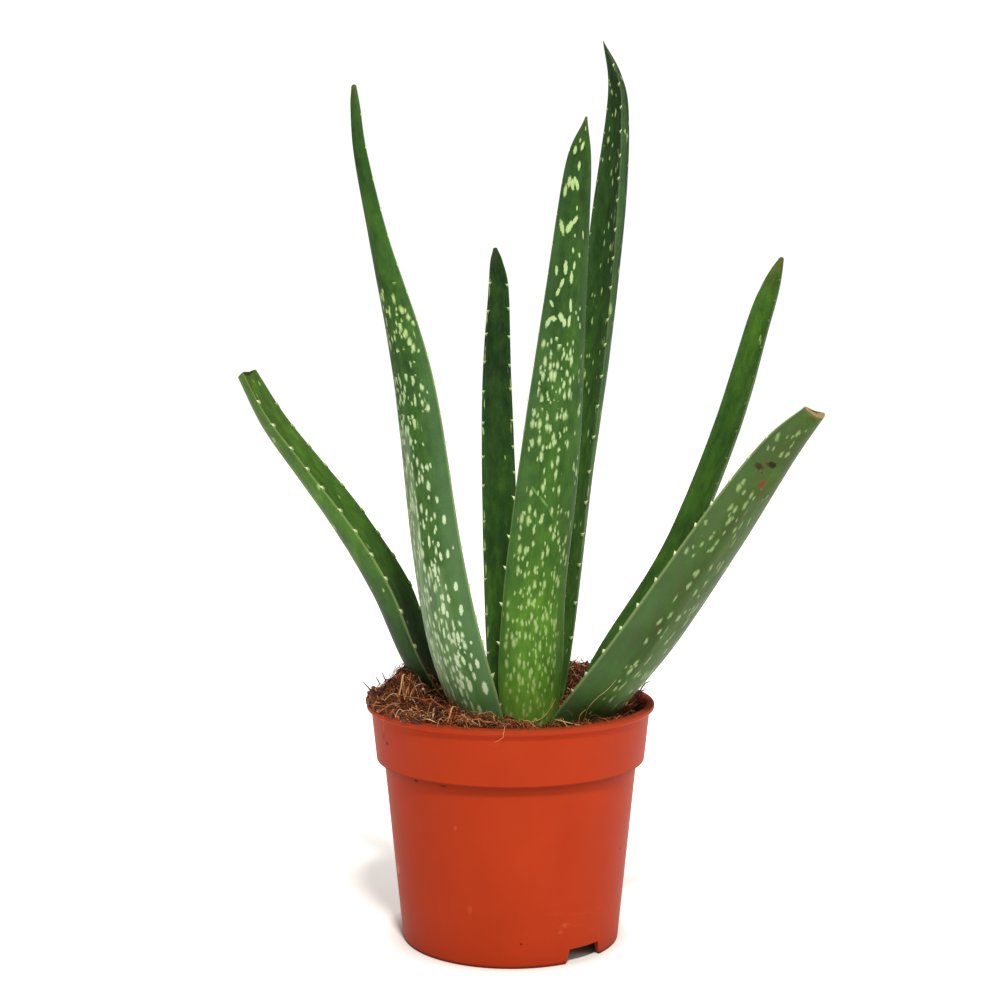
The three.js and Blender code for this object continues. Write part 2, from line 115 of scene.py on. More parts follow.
# Strands that the photo shows one by one: how pale, how thick, and the points that each runs through
PLACED_STRANDS = [
    (1.15, 1.1, [
        (-29.3, -6.6, 100.4), (-24.3, -4.9, 99.9), (-19.4, -4.4, 99.2), (-18.8, -9, 99.2),
        (-18.6, -28.7, 99.4), (-17.9, -58, 100.5),
    ]),
    (1.1, 1.0, [
        (-47, -35.7, 100.6), (-42.5, -39.5, 100.6), (-38.3, -36, 100), (-33.4, -38.8, 100),
        (-29.3, -42, 99.8),
    ]),
    (1.05, 1.0, [
        (-43.9, -42.3, 99.6), (-39.2, -41.4, 100.6), (-34.8, -33.2, 100.2), (-28.8, -22, 100),
        (-22.6, -25.7, 99.8), (-20.1, -43.9, 99.4),
    ]),
    (0.85, 0.9, [
        (-8.4, -26.3, 97.4), (-5.6, -34, 98.5), (-2.8, -57, 100.9), (-2.9, -60.8, 99.4),
        (-3.4, -60.4, 96.8), (-6.5, -59.9, 95.2),
    ]),
    (0.6, 0.7, [(-49.7, -31.8, 100.9), (-51.2, -32.2, 99.4), (-50.9, -33.2, 95.5), (-51.4, -31.6, 91.3)]),
    (1.2, 1.1, [(17.5, -31, 98), (22.7, -33, 97.2), (27.4, -37, 97), (33, -45, 99.4)]),
    (1.15, 0.45, [
        (3.6, -18.5, 95.6), (6.6, -18.6, 94.7), (10.3, -17.9, 94.6), (13.6, -16.6, 96.1),
        (16.5, -14.9, 99.4), (18.7, -12.9, 103.2),
    ]),
    (1.15, 0.42, [
        (29.8, -29.3, 98.1), (30.9, -32.2, 102.8), (34.2, -35, 107.4), (38.5, -37.5, 111.6),
        (41.8, -40, 116),
    ]),
    (0.12, 2.2, [(-61.1, -12, 109.9), (-56.9, -14, 105.7), (-53.5, -16, 100.2)]),
    (0.4, 0.5, [(-60.4, -5, 116.1), (-57.6, -4, 115.5), (-54.3, -3, 113.2), (-52.3, -2, 107)]),
    (0.3, 1.5, [(-53.7, 0, 111.5), (-52.4, 0, 108.4), (-50.8, 0, 104)]),
    (0.3, 1.3, [(-58.5, -20, 104.8), (-55, -21, 102.8), (-51, -22, 100.4)]),
    (0.6, 1.1, [(-57, -28, 103.5), (-52, -26, 102.4), (-47, -24, 101.5)]),
    (0.6, 0.5, [(-38, 10, 114.8), (-36.5, 10, 111.5), (-35, 10, 107)]),
    (0.15, 0.8, [(27.2, 36, 108), (29.5, 36, 111), (31, 36, 113)]),
    (0.1, 0.8, [(33, 36, 108), (34.5, 36, 111), (35.6, 36, 112.8)]),
    (0.35, 0.35, [(31, 36, 107), (32.4, 36, 117.1), (34.5, 35, 116), (36.7, 34, 114.4)]),
    (0.2, 0.5, [(57.1, 10, 107.4), (56.9, 10, 104), (56.4, 10, 100)]),
]
GRAINS = [(-36.4, -3.2, 104.8), (-55.5, 1, 101.6), (-40.6, -21.3, 99.6), (-29.2, 3.8, 103.4)]

# Leaves: the stations, facing, belly and channel of the solids, and what each one's skin shows.
# A station is a point of the spine and the width there. Facing is the azimuth of the outer face at the foot
# and at the tip. The green at a height is how light green the skin is there, and near the low left leaf's foot
# it is painted shade; bloom is how waxy and grey, olive how much it leans to brown, inside how much lighter or
# darker the hollow face is, and margin how pale the horny edge is.
# A patch of spots or streaks is the heights and the shares across the leaf that it runs between, and how full
# it is. Thorns are the sizes on the two margins, as shares of the solids' own, and how pale they are;
# more_thorns are thorns that the solids don't have, as height, side and size. Sunk is how far a cut end has
# shrunk in, and dryness how much of the tip has dried.
LEAVES = {
    "leaf_low_left": {
        "facing": (168, 160), "belly": 0.47, "channel": 0.15,
        "stations": [
            (-2.4, 4.4, 71, 5), (-17, 9, 89, 17), (-34, 12, 115, 23), (-47.3, 17, 146.9, 26.4),
            (-65.4, 24, 173.7, 23.6), (-84.4, 30, 196.7, 19.8), (-100.6, 35, 216.3, 16.5),
            (-112.8, 38, 236.2, 12.3),
        ],
        "tip": "cut",
        # Its low values near the foot are painted shade, where the base of this leaf lies in shade
        "green_and_shade": [(71, 0.05), (115, 0.1), (130, 0.24), (148, 0.5), (160, 0.7), (200, 0.75), (236, 0.75)],
        "bloom": [(71, 0.15), (236, 0.1)],
        "olive": [(180, 0.05), (236, 0.5)],
        "inside": -0.1, "margin": 0.3, "thorns": (1.3, 1, 1), "sunk": 0.8, "dryness": 0.55,
        "spots": [(224, 236, -1, 1, 0.2), (80, 236, -1, 1, 0.015)],
    },
    "leaf_tall_left": {
        "facing": (222, 232), "belly": 0.36, "channel": 0.08,
        "stations": [
            (-0.2, -3, 70, 5), (-7.5, -11, 86, 20), (-14.5, -16, 104, 28), (-22.2, -20, 130, 29.8),
            (-29.1, -26, 168, 26.8), (-37.9, -36, 235, 20.5), (-50.6, -45, 288, 9.9), (-57.2, -50, 320, 6.7),
            (-58.9, -52, 337, 4.9), (-59.4, -52.8, 344.6, 2.6),
        ],
        "tip": "point",
        "green_and_shade": [(70, 0.86), (120, 0.58), (180, 0.35), (240, 0.35), (285, 0.38), (315, 0.33), (345, 0.3)],
        "bloom": [(70, 0.95), (170, 0.8), (230, 0.4), (270, 0.1), (320, 0.05), (345, 0.3)],
        "olive": [(330, 0), (345, 0.5)],
        "inside": 0, "margin": 0.35, "thorns": (0.5, 1, 0.85),
        "more_thorns": [(128, 1, 1.2), (113, 1, 1.3), (101, 1, 0.9)],
        "spots": [
            (259, 271, -0.5, 0.85, 0.8), (245, 258, -0.6, 0.93, 1), (237, 243, 0.45, 0.8, 0.35),
            (222, 236, -0.6, 0.8, 0.95), (208, 221, -0.7, 0.5, 0.9), (190, 207, -0.7, 0.7, 0.65),
            (140, 190, -1, 0.55, 0.55), (140, 190, 0.55, 0.85, 0.25), (84, 140, -1, 0.8, 0.5),
        ],
        # The streaks on its left side also lay the pale veil there, partly a painted sheen
        "streaks": [(84, 215, -1, 0.05, 1), (84, 160, 0.05, 0.6, 0.4)],
    },
    "leaf_inner_short": {
        "facing": (95, 90), "belly": 0.34, "channel": 0.12,
        "stations": [
            (1.8, 9.4, 79, 4.5), (-2, 12, 96, 12), (-3, 17, 125, 15), (-4.9, 26, 190, 14.5),
            (-5.7, 34, 235, 12.3), (-5.0, 39, 270, 9), (-5.9, 41, 283, 5.6), (-6.4, 41.9, 288.4, 2.2),
        ],
        "tip": "point",
        "green_and_shade": [(79, 0.55), (125, 0.41), (180, 0.28), (230, 0.15), (289, 0.02)],
        "bloom": [(79, 0.1), (289, 0.05)],
        "olive": [(280, 0), (289, 0.5)],
        "inside": 0, "margin": 0.4, "thorns": (0.5, 0.5, 0.75), "dryness": 0.3,
        "spots": [(90, 289, -1, 1, 0.01)],
        "streaks": [(105, 284, 0.78, 0.97, 0.55), (105, 284, -0.97, -0.78, 0.55)],
    },
    "leaf_front": {
        "facing": (290, 284), "belly": 0.33, "channel": 0.06,
        "stations": [
            (7, -4.9, 77, 5), (8, -9, 90, 21), (8, -11, 110, 28), (10, -14, 150, 27), (16, -19, 205, 25),
            (22.1, -25, 272, 16.7), (26.2, -31, 317, 10.8), (29, -34, 335, 1.2),
        ],
        "tip": "point",
        "green_and_shade": [(77, 1.22), (103, 1.12), (111, 0.95), (135, 0.83), (180, 0.54), (280, 0.3), (335, 0.22)],
        "bloom": [(77, 0.1), (150, 0.2), (240, 0.45), (290, 0.25), (335, 0.2)],
        "olive": [(325, 0), (335, 0.4)],
        "inside": 0, "margin": 0.35, "thorns": (0.9, 0.3, 0.9),
        "spots": [
            (225, 250, -0.88, 0.35, 0.95), (206, 223, -0.88, 0.3, 0.95), (182, 206, -0.75, 0.3, 0.35),
            (165, 182, -0.88, 0.6, 0.65), (84, 165, -0.9, 0.65, 0.8), (160, 258, 0.62, 0.85, 0.4),
        ],
    },
    "leaf_tall_back": {
        "facing": (58, 16), "belly": 0.38, "channel": 0.14,
        "stations": [
            (8.2, 9.4, 77, 5), (13.5, 10.5, 95, 17), (18.3, 15, 125, 20.2), (26.5, 32, 190, 21.8),
            (35.5, 48, 250, 22.5), (42.2, 64, 310, 23.8), (46.2, 73, 350, 18), (45.9, 76, 367, 10.4),
            (42, 78, 382, 1),
        ],
        "tip": "point",
        "green_and_shade": [(77, 0.75), (140, 0.6), (200, 0.45), (280, 0.22), (382, 0.05)],
        "bloom": [(77, 0.1), (180, 0.2), (382, 0.2)],
        "olive": [(366, 0), (382, 0.4)],
        "inside": 0, "margin": 0.08, "thorns": (0.55, 0.6, 0.9),
        "spots": [(325, 372, -0.9, 0.9, 0.2), (200, 325, -0.8, 0.9, 0.12), (100, 200, -1, 1, 0.04)],
        "streaks": [(110, 372, -1, -0.86, 0.35)],
    },
    "leaf_right_back": {
        "facing": (25, 38), "belly": 0.33, "channel": 0.1,
        "stations": [
            (12.2, 4.9, 70, 5), (28, 10, 90, 17), (42.7, 14, 116.1, 21.4), (70.8, 26, 160.1, 18.3),
            (93.5, 38, 212, 16.5), (108, 45, 257.7, 13.6), (113.1, 47, 272, 10.8), (115.9, 47.6, 279.4, 7.2),
            (118.1, 48, 284.6, 3.2),
        ],
        "tip": "scorched",
        "green_and_shade": [(70, 0.5), (120, 0.32), (170, 0.24), (230, 0.38), (286, 0.55)],
        "bloom": [(70, 0.1), (286, 0.1)],
        "olive": [(225, 0), (268, 0.1), (280, 0.9), (286, 1)],
        "inside": 0.18, "margin": 0.12, "thorns": (0.4, 0.12, 0.05),
        "spots": [(100, 280, -1, 1, 0.006)],
    },
    "leaf_right_front": {
        "facing": (318, 312), "belly": 0.33, "channel": 0.08,
        "stations": [
            (11.2, -1.9, 69, 5), (20, -11, 84, 20), (31, -17, 101, 32), (53, -34, 133, 34.8),
            (79, -54, 176, 30), (98.9, -68, 208.1, 21.6), (112, -77, 224, 12),
        ],
        "tip": "cut",
        "green_and_shade": [(69, 0.62), (105, 0.48), (130, 0.29), (224, 0.4)],
        "bloom": [(69, 0.45), (150, 0.35), (224, 0.2)],
        "olive": [(69, 0.35), (150, 0.6), (224, 0.75)],
        "inside": 0, "margin": 0.38, "thorns": (1.2, 0.4, 0.9),
        "more_thorns": [(108, -1, 1.1)],
        "sunk": 1.6,
        "spots": [
            (207, 219, -0.9, 0, 0.55), (184, 201, -0.85, -0.3, 0.45), (168, 186, -0.93, -0.15, 0.4),
            (130, 168, -0.65, 0, 0.28), (100, 130, -0.6, 0.05, 0.2),
        ],
        "streaks": [(90, 190, -0.35, 0.4, 0.4)],
    },
}
# Blemishes: the leaf by its order above, then the place across and along it, the half sizes across and along,
# the turn in degrees, the colour and how strong it is
BLEMISHES = [
    (6, -8.4, 172.2, 1.5, 1.3, 20, "#33211a", 0.9),
    (6, -6.7, 174.6, 1.3, 0.6, 40, "#4a3524", 0.75),
    (6, -4.9, 175.2, 1.8, 1.5, -10, "#241710", 0.92),
    (6, -4.4, 166.6, 1.4, 2.1, 15, "#6a3020", 0.8),
    (6, -3.6, 164.6, 0.6, 0.5, 0, "#8a4636", 0.6),
    (6, -6.7, 170.6, 0.4, 0.4, 0, "#3a2014", 0.7),
    (3, -7.0, 114.2, 0.45, 2.6, -38, "#6c9649", 0.55),
    (3, -3.2, 110.2, 0.5, 2.9, -42, "#6c9649", 0.6),
    (3, 0.2, 105.6, 0.45, 2.4, -30, "#6c9649", 0.5),
    (0, -3.0, 150.0, 0.5, 0.8, 0, "#6d5a34", 0.6),
    (4, 3.0, 196.0, 0.5, 0.9, 0, "#6d5a34", 0.6),
]
# Spots that the photo shows one by one, by leaf: the same numbers, without a colour
PLACED_SPOTS = {
    1: [
        (10.3, 118.3, 0.53, 2.18, 0), (2.9, 116.9, 0.40, 2.28, 0), (4.5, 109.9, 0.53, 3.04, 3),
        (7.1, 114, 0.33, 1.33, 3), (7.8, 108.6, 0.46, 1.33, 0), (8.1, 103.7, 0.53, 1.99, -3),
        (10.3, 104.3, 0.46, 1.99, 3), (5.4, 98.2, 0.59, 3.04, 3), (6.1, 94.6, 0.46, 1.71, 0),
        (8.5, 91.2, 0.33, 1.42, 0), (11.4, 90.7, 0.59, 2.09, 3), (6.9, 87.1, 0.46, 1.71, 0),
        (8.8, 86.2, 0.53, 1.99, -3), (6.3, 82.4, 0.79, 2.85, 5), (7.5, 80, 0.53, 1.71, 0),
        (11.9, 80.8, 0.59, 2.56, 3), (9.6, 69.8, 0.59, 2.75, 0), (4.8, 72.4, 0.46, 2.56, 5),
        (7.4, 68.7, 0.33, 1.04, 0), (12.8, 66.5, 0.33, 0.85, 0), (7.2, 59.4, 0.79, 2.28, 0),
        (9.4, 59.7, 0.59, 2.38, -3), (12.9, 56.8, 0.53, 2.38, 3), (6.2, 50, 0.73, 2.56, 0),
        (8.6, 48.2, 0.79, 2.75, 3), (12.6, 45.9, 0.73, 2.85, 3),
    ],
    5: [
        (-3.3, 209, 0.55, 1.7, 0),
    ],
    3: [
        (-1.3, 252.9, 0.33, 1.02, 7), (-2.7, 249.1, 0.58, 1.87, 7), (-0.1, 251.0, 0.58, 2.04, 12),
        (0.2, 257.7, 0.26, 1.02, -3), (-0.7, 243.3, 0.58, 1.87, 2), (-4.9, 233.3, 0.58, 2.72, 2),
        (-3.8, 237.0, 0.65, 2.38, 2), (-2.6, 236.0, 0.72, 2.38, -8), (-1.8, 237.6, 0.58, 1.70, -8),
        (-0.8, 236.0, 0.72, 2.38, -13), (-0.1, 227.0, 0.33, 1.02, -3), (-5.0, 219.0, 0.78, 3.40, -13),
        (-2.7, 219.0, 1.04, 2.04, 12), (-1.9, 220.6, 0.98, 1.87, 22), (-0.5, 222.3, 0.84, 2.04, 22),
        (0.0, 216.4, 0.33, 0.77, -8), (3.5, 216.8, 0.33, 2.12, -8), (-0.3, 210.6, 0.46, 1.28, -8),
        (2.6, 208.8, 0.46, 1.28, -8), (-2.6, 203.7, 0.78, 3.06, -3), (-5.7, 202.2, 0.52, 2.12, -3),
        (0.0, 199.8, 0.72, 2.72, -3), (0.7, 204.6, 0.52, 2.04, 2), (-3.5, 197.4, 0.65, 2.38, 14),
        (-4.7, 193.8, 0.65, 1.87, 14), (-6.5, 189.0, 0.52, 1.70, -23), (0.6, 189.0, 0.58, 3.06, -5),
        (-7.2, 181.5, 0.72, 2.38, 17), (-5.6, 183.3, 1.24, 1.19, 52), (-2.8, 183.9, 1.04, 2.04, -18),
        (-1.5, 182.1, 0.91, 1.87, -8), (0.5, 182.7, 0.65, 2.89, 2), (3.2, 186.2, 0.33, 0.94, -8),
        (5.0, 187.9, 0.33, 0.94, -8), (4.5, 183.9, 0.39, 1.19, -8), (5.7, 180.9, 0.33, 1.53, -8),
    ],
}
BELLY_ROUNDNESS = 0.72
MARGIN_ROUNDING = 0.018
LEAF_RINGS = 230
LEAF_TIP_RINGS = 9
CUT_TIP_LENGTH = 0.45
ROUND_TIP_LENGTH = 1.1
SPINE_STEPS = 200
# What sets one leaf's places along it apart from the next one's
LEAF_STEP = 1000
SECTION_POINTS = 60
UNEVENNESS = 0.35

# Thorns: the same rule, places and sizes as on the solids
THORN_START_Z = 114
THORN_SPACING = (16, 10.5)
THORN_LENGTH = (2.4, 1.3)
THORN_FOOT = 3
THORN_THICKNESS = 1.3
THORN_SUNK = 1
THORN_LEAN = 25
THORN_FIRST = 6
THORN_TIP_CLEARANCE = 9
THORN_LEAST_WIDTH = 3
THORN_SEED = 11
THORN_SEED_STEP = 7
DRAW_MODULUS = 2**32


def mix(a, b, share):
    return a + (b - a) * share


def smoothstep(low, high, value):
    share = np.clip((value - low) / (high - low), 0, 1)
    return share * share * (3 - 2 * share)


def colour(code):
    """The linear colour of a hex code."""
    parts = [int(code[i : i + 2], 16) / 255 for i in (1, 3, 5)]
    linear = [c / 12.92 if c <= 0.04045 else ((c + 0.055) / 1.055) ** 2.4 for c in parts]
    return (*linear, 1)


def add(tree, kind, *inputs, **settings):
    """Adds a node with its settings and links.

    The kind leaves out the family, and a space and the operation may follow it. The inputs come in the
    node's own order, and a dictionary at the end names the rest. Each takes a value, a hex colour, a node,
    a socket or a list of nodes.
    """
    kind, *operation = kind.split()
    family = next(family for family in NODE_FAMILIES if hasattr(bpy.types, family + kind))
    made = tree.nodes.new(family + kind)
    if operation:
        made.operation = operation[0]
    for label, value in settings.items():
        setattr(made, label, value)
    live = [socket for socket in made.inputs if socket.enabled]
    *ordered, named = inputs if inputs and isinstance(inputs[-1], dict) else (*inputs, {})
    chosen = list(zip(live, ordered))
    chosen += [(next(s for s in live if s.name == label), value) for label, value in named.items()]
    for socket, value in chosen:
        for source in value if isinstance(value, list) else [value]:
            if isinstance(source, bpy.types.Node):
                source = next(output for output in source.outputs if output.enabled)
            if isinstance(source, bpy.types.NodeSocket):
                tree.links.new(source, socket)
            else:
                is_hex = isinstance(source, str) and source.startswith("#")
                socket.default_value = colour(source) if is_hex else source
    return made


def fill_ramp(ramp, *stops):
    """Gives a ramp node its stops, as places and hex colours from the low end to the high one."""
    elements = ramp.color_ramp.elements
    for place, _ in stops[1:-1]:
        elements.new(place)
    for element, (place, code) in zip(list(elements), stops):
        element.position, element.color = place, colour(code)
    return ramp


def from_middle(node, place, centre, half, turn):
    """How far a place is from the middle of an ellipsoid turned about Z, in shares of its half sizes."""
    centred = node("VectorMath SUBTRACT", place, centre)
    turned = node("VectorRotate", centred, {"Angle": math.radians(turn)}, rotation_type="Z_AXIS")
    scaled = node("VectorMath MULTIPLY", turned, tuple(1 / size for size in half))
    return node("VectorMath LENGTH", scaled).outputs["Value"]


def marked(node, base, place, frayed, edges, marks):
    """Lays marks on a colour: soft ragged ellipsoids as centre, half sizes, turn, colour and strength."""
    for centre, half, turn, code, strong in marks:
        ragged = node("Math ADD", from_middle(node, place, centre, half, turn), frayed)
        mark = node("MapRange", ragged, *edges, {"To Max": strong}, interpolation_type="SMOOTHSTEP")
        base = node("Mix", mark, base, code, data_type="RGBA")
    return base


def new_tree(name, sizes):
    """A geometry tree whose inputs are a mesh and named sizes, its adder of nodes, and what gives them."""
    tree = bpy.data.node_groups.new(name, "GeometryNodeTree")
    tree.is_modifier = True
    tree.interface.new_socket("Seed", in_out="INPUT", socket_type="NodeSocketGeometry")
    for label, value in sizes.items():
        kind = "NodeSocketInt" if isinstance(value, int) else "NodeSocketFloat"
        tree.interface.new_socket(label, in_out="INPUT", socket_type=kind).default_value = value
    tree.interface.new_socket("Result", in_out="OUTPUT", socket_type="NodeSocketGeometry")
    return tree, functools.partial(add, tree), add(tree, "GroupInput").outputs


def seed_mesh(name, points, edges=(), faces=(), **values):
    """A mesh from points in millimetres, with named values on its points for a tree to read."""
    mesh = bpy.data.meshes.new(name)
    mesh.from_pydata((np.asarray(points, float) * MM).tolist(), edges, faces)
    for label, listed in values.items():
        put(mesh, label, listed)
    return mesh


def put(mesh, label, listed):
    """Stores a number or a vector on each point of a mesh."""
    listed = np.asarray(listed, np.float32)
    kind, field = ("FLOAT_VECTOR", "vector") if listed.ndim == 2 else ("FLOAT", "value")
    mesh.attributes.new(label, kind, "POINT").data.foreach_set(field, listed.ravel())


def take(mesh, label):
    """Reads back the numbers that put or a tree stored on the points of a mesh."""
    listed = np.zeros(len(mesh.vertices), np.float32)
    mesh.attributes[label].data.foreach_get("value", listed)
    return listed


def positions(mesh):
    """The points of a mesh in millimetres."""
    listed = np.zeros(len(mesh.vertices) * 3, np.float32)
    mesh.vertices.foreach_get("co", listed)
    return listed.reshape(-1, 3) / MM


def grow(name, seed, tree, **sizes):
    """The plain mesh object that a tree makes from a seed mesh."""
    holder = bpy.data.objects.new(name + "_seed", seed)
    bpy.context.scene.collection.objects.link(holder)
    modifier = holder.modifiers.new("grow", "NODES")
    modifier.node_group = tree
    named = {s.name: s.identifier for s in tree.interface.items_tree if s.in_out == "INPUT"}
    for label, value in sizes.items():
        modifier[named[label]] = value
    ready = bpy.context.evaluated_depsgraph_get()
    grown = holder.evaluated_get(ready)
    mesh = bpy.data.meshes.new_from_object(grown, preserve_all_data_layers=True, depsgraph=ready)
    mesh.name = name
    bpy.data.objects.remove(holder)
    return shown(name, mesh)


def shown(name, mesh):
    """An object at the origin for a finished mesh."""
    made = bpy.data.objects.new(name, mesh)
    bpy.context.scene.collection.objects.link(made)
    return made


def along_points(points, at):
    """Points of the smooth curve through a row of points, at shares of the row, as the solids' spines run."""
    points = np.vstack([2 * points[0] - points[1], points, 2 * points[-1] - points[-2]])
    spans = len(points) - 3
    place = np.asarray(at, float) * spans
    span = np.clip(place.astype(int), 0, spans - 1)
    w = (place - span)[:, None]
    before, start, end, after = (points[span + k] for k in range(4))
    leave = 0.5 * (end - before)
    arrive = 0.5 * (after - start)
    return (
        (2 * start - 2 * end + leave + arrive) * w**3
        + (-3 * start + 3 * end - 2 * leave - arrive) * w**2
        + leave * w
        + start
    )


def unit(rows):
    return rows / np.linalg.norm(rows, axis=1, keepdims=True)


class Spine:
    """Where a leaf runs, and its frame at any share of its length."""

    def __init__(self, leaf):
        self.facing = leaf["facing"]
        self.stations = np.array(leaf["stations"], float)
        self.shares = np.linspace(0, 1, SPINE_STEPS + 1)
        steps = np.diff(along_points(self.stations, self.shares)[:, :3], axis=0)
        self.lengths = np.concatenate([[0], np.cumsum(np.linalg.norm(steps, axis=1))])
        self.length = self.lengths[-1]

    def share_at(self, height):
        return np.interp(height, along_points(self.stations, self.shares)[:, 2], self.lengths) / self.length

    def at(self, share):
        share = np.asarray(share, float)
        t = np.interp(share * self.length, self.lengths, self.shares)
        here = along_points(self.stations, t)
        ahead = along_points(self.stations, np.minimum(t + 1e-4, 1))
        behind = along_points(self.stations, np.maximum(t - 1e-4, 0))
        tangent = unit((ahead - behind)[:, :3])
        azimuth = np.radians(mix(self.facing[0], self.facing[1], share))
        outward = np.stack([np.cos(azimuth), np.sin(azimuth), 0 * azimuth], 1)
        outward = unit(outward - tangent * np.sum(outward * tangent, axis=1, keepdims=True))
        return here[:, :3], here[:, 3], tangent, outward, np.cross(tangent, outward)


def draws(seed):
    """The solids' own repeatable draws from 0 to 1, so that the thorns stand in the same places."""
    state = seed
    while True:
        state = (state * 1664525 + 1013904223) % DRAW_MODULUS
        yield state / DRAW_MODULUS


def thorn_places(spine, seed):
    """The share of the length and the side of each thorn of a leaf."""
    random = draws(seed)
    places = []
    for side in (-1, 1):
        distance = THORN_FIRST * next(random)
        while distance < spine.length - THORN_TIP_CLEARANCE:
            share = distance / spine.length
            centre, width, *_ = spine.at([share])
            if centre[0, 2] > THORN_START_Z and width[0] > THORN_LEAST_WIDTH:
                places.append((share, side))
            distance += mix(*THORN_SPACING, share) * (0.85 + 0.3 * next(random))
    return places


def leaf_seed(name, leaf, index):
    """A leaf's spine as a row of points, closed in at the tip, and a loose point for each thorn."""
    spine = Spine(leaf)
    shares = np.linspace(0, 1, LEAF_RINGS)
    centre, width, tangent, outward, across = spine.at(shares)
    # The tip closes over a few more rings: a cut end is flat and pushed in, a pointed one runs out round
    closing = np.sin(np.linspace(0.12, 1, LEAF_TIP_RINGS) * math.pi / 2)
    taper = np.sqrt(1 - closing**2) + 0.004
    forward = (CUT_TIP_LENGTH if leaf["tip"] == "cut" else ROUND_TIP_LENGTH) * closing
    tip_centre = centre[-1] + tangent[-1] * forward[:, None]
    hollow = -tangent[-1] * (1 - taper[:, None]) * leaf.get("sunk", 0)
    centre = np.vstack([centre, tip_centre])
    width = np.concatenate([width, width[-1] * taper])
    outward = np.vstack([outward, np.repeat(outward[-1:], LEAF_TIP_RINGS, 0)])
    along = np.concatenate([shares * spine.length, spine.length + forward])
    cap = np.concatenate([0 * shares, 1 - taper])
    sink = np.vstack([np.zeros((len(shares), 3)), hollow])
    count = len(centre)
    edges = [(i, i + 1) for i in range(count - 1)]

    left, right, pale = leaf["thorns"]
    places = thorn_places(spine, THORN_SEED + THORN_SEED_STEP * index)
    thorns = [(share, side, left if side < 0 else right) for share, side in places]
    thorns += [(spine.share_at(height), side, grown) for height, side, grown in leaf.get("more_thorns", ())]
    share, side, grown = np.array(thorns).T
    where, thick, run, out, wide = spine.at(share)
    side = side[:, None]
    lean = math.radians(THORN_LEAN)
    point = wide * side * math.cos(lean) + run * math.sin(lean)
    root = where + wide * side * (thick[:, None] / 2 - THORN_SUNK)
    sizes = mix(*THORN_LENGTH, share) * grown + THORN_SUNK
    feet = THORN_FOOT * mix(0.45, 1, grown)
    thorn_size = np.stack([feet, feet * THORN_THICKNESS / THORN_FOOT, sizes], 1) * MM
    none, blank, empty = np.zeros(count), np.zeros(len(thorns)), np.zeros((count, 3))
    # Each value on the spine's points, then on the thorns'
    values = {
        "width": (width * MM, blank),
        "outward": (outward, out),
        "along": (along, blank),
        "cap": (cap, blank),
        "sink": (sink * MM, 0 * root),
        "thorn": (none, blank + 1),
        "thorn_point": (empty, point),
        "thorn_run": (empty, run),
        "thorn_size": (empty, thorn_size),
        "pale": (none, blank + pale),
    }
    values = {label: np.concatenate(pair) for label, pair in values.items()}
    return seed_mesh(name, np.vstack([centre, root]), edges, **values)


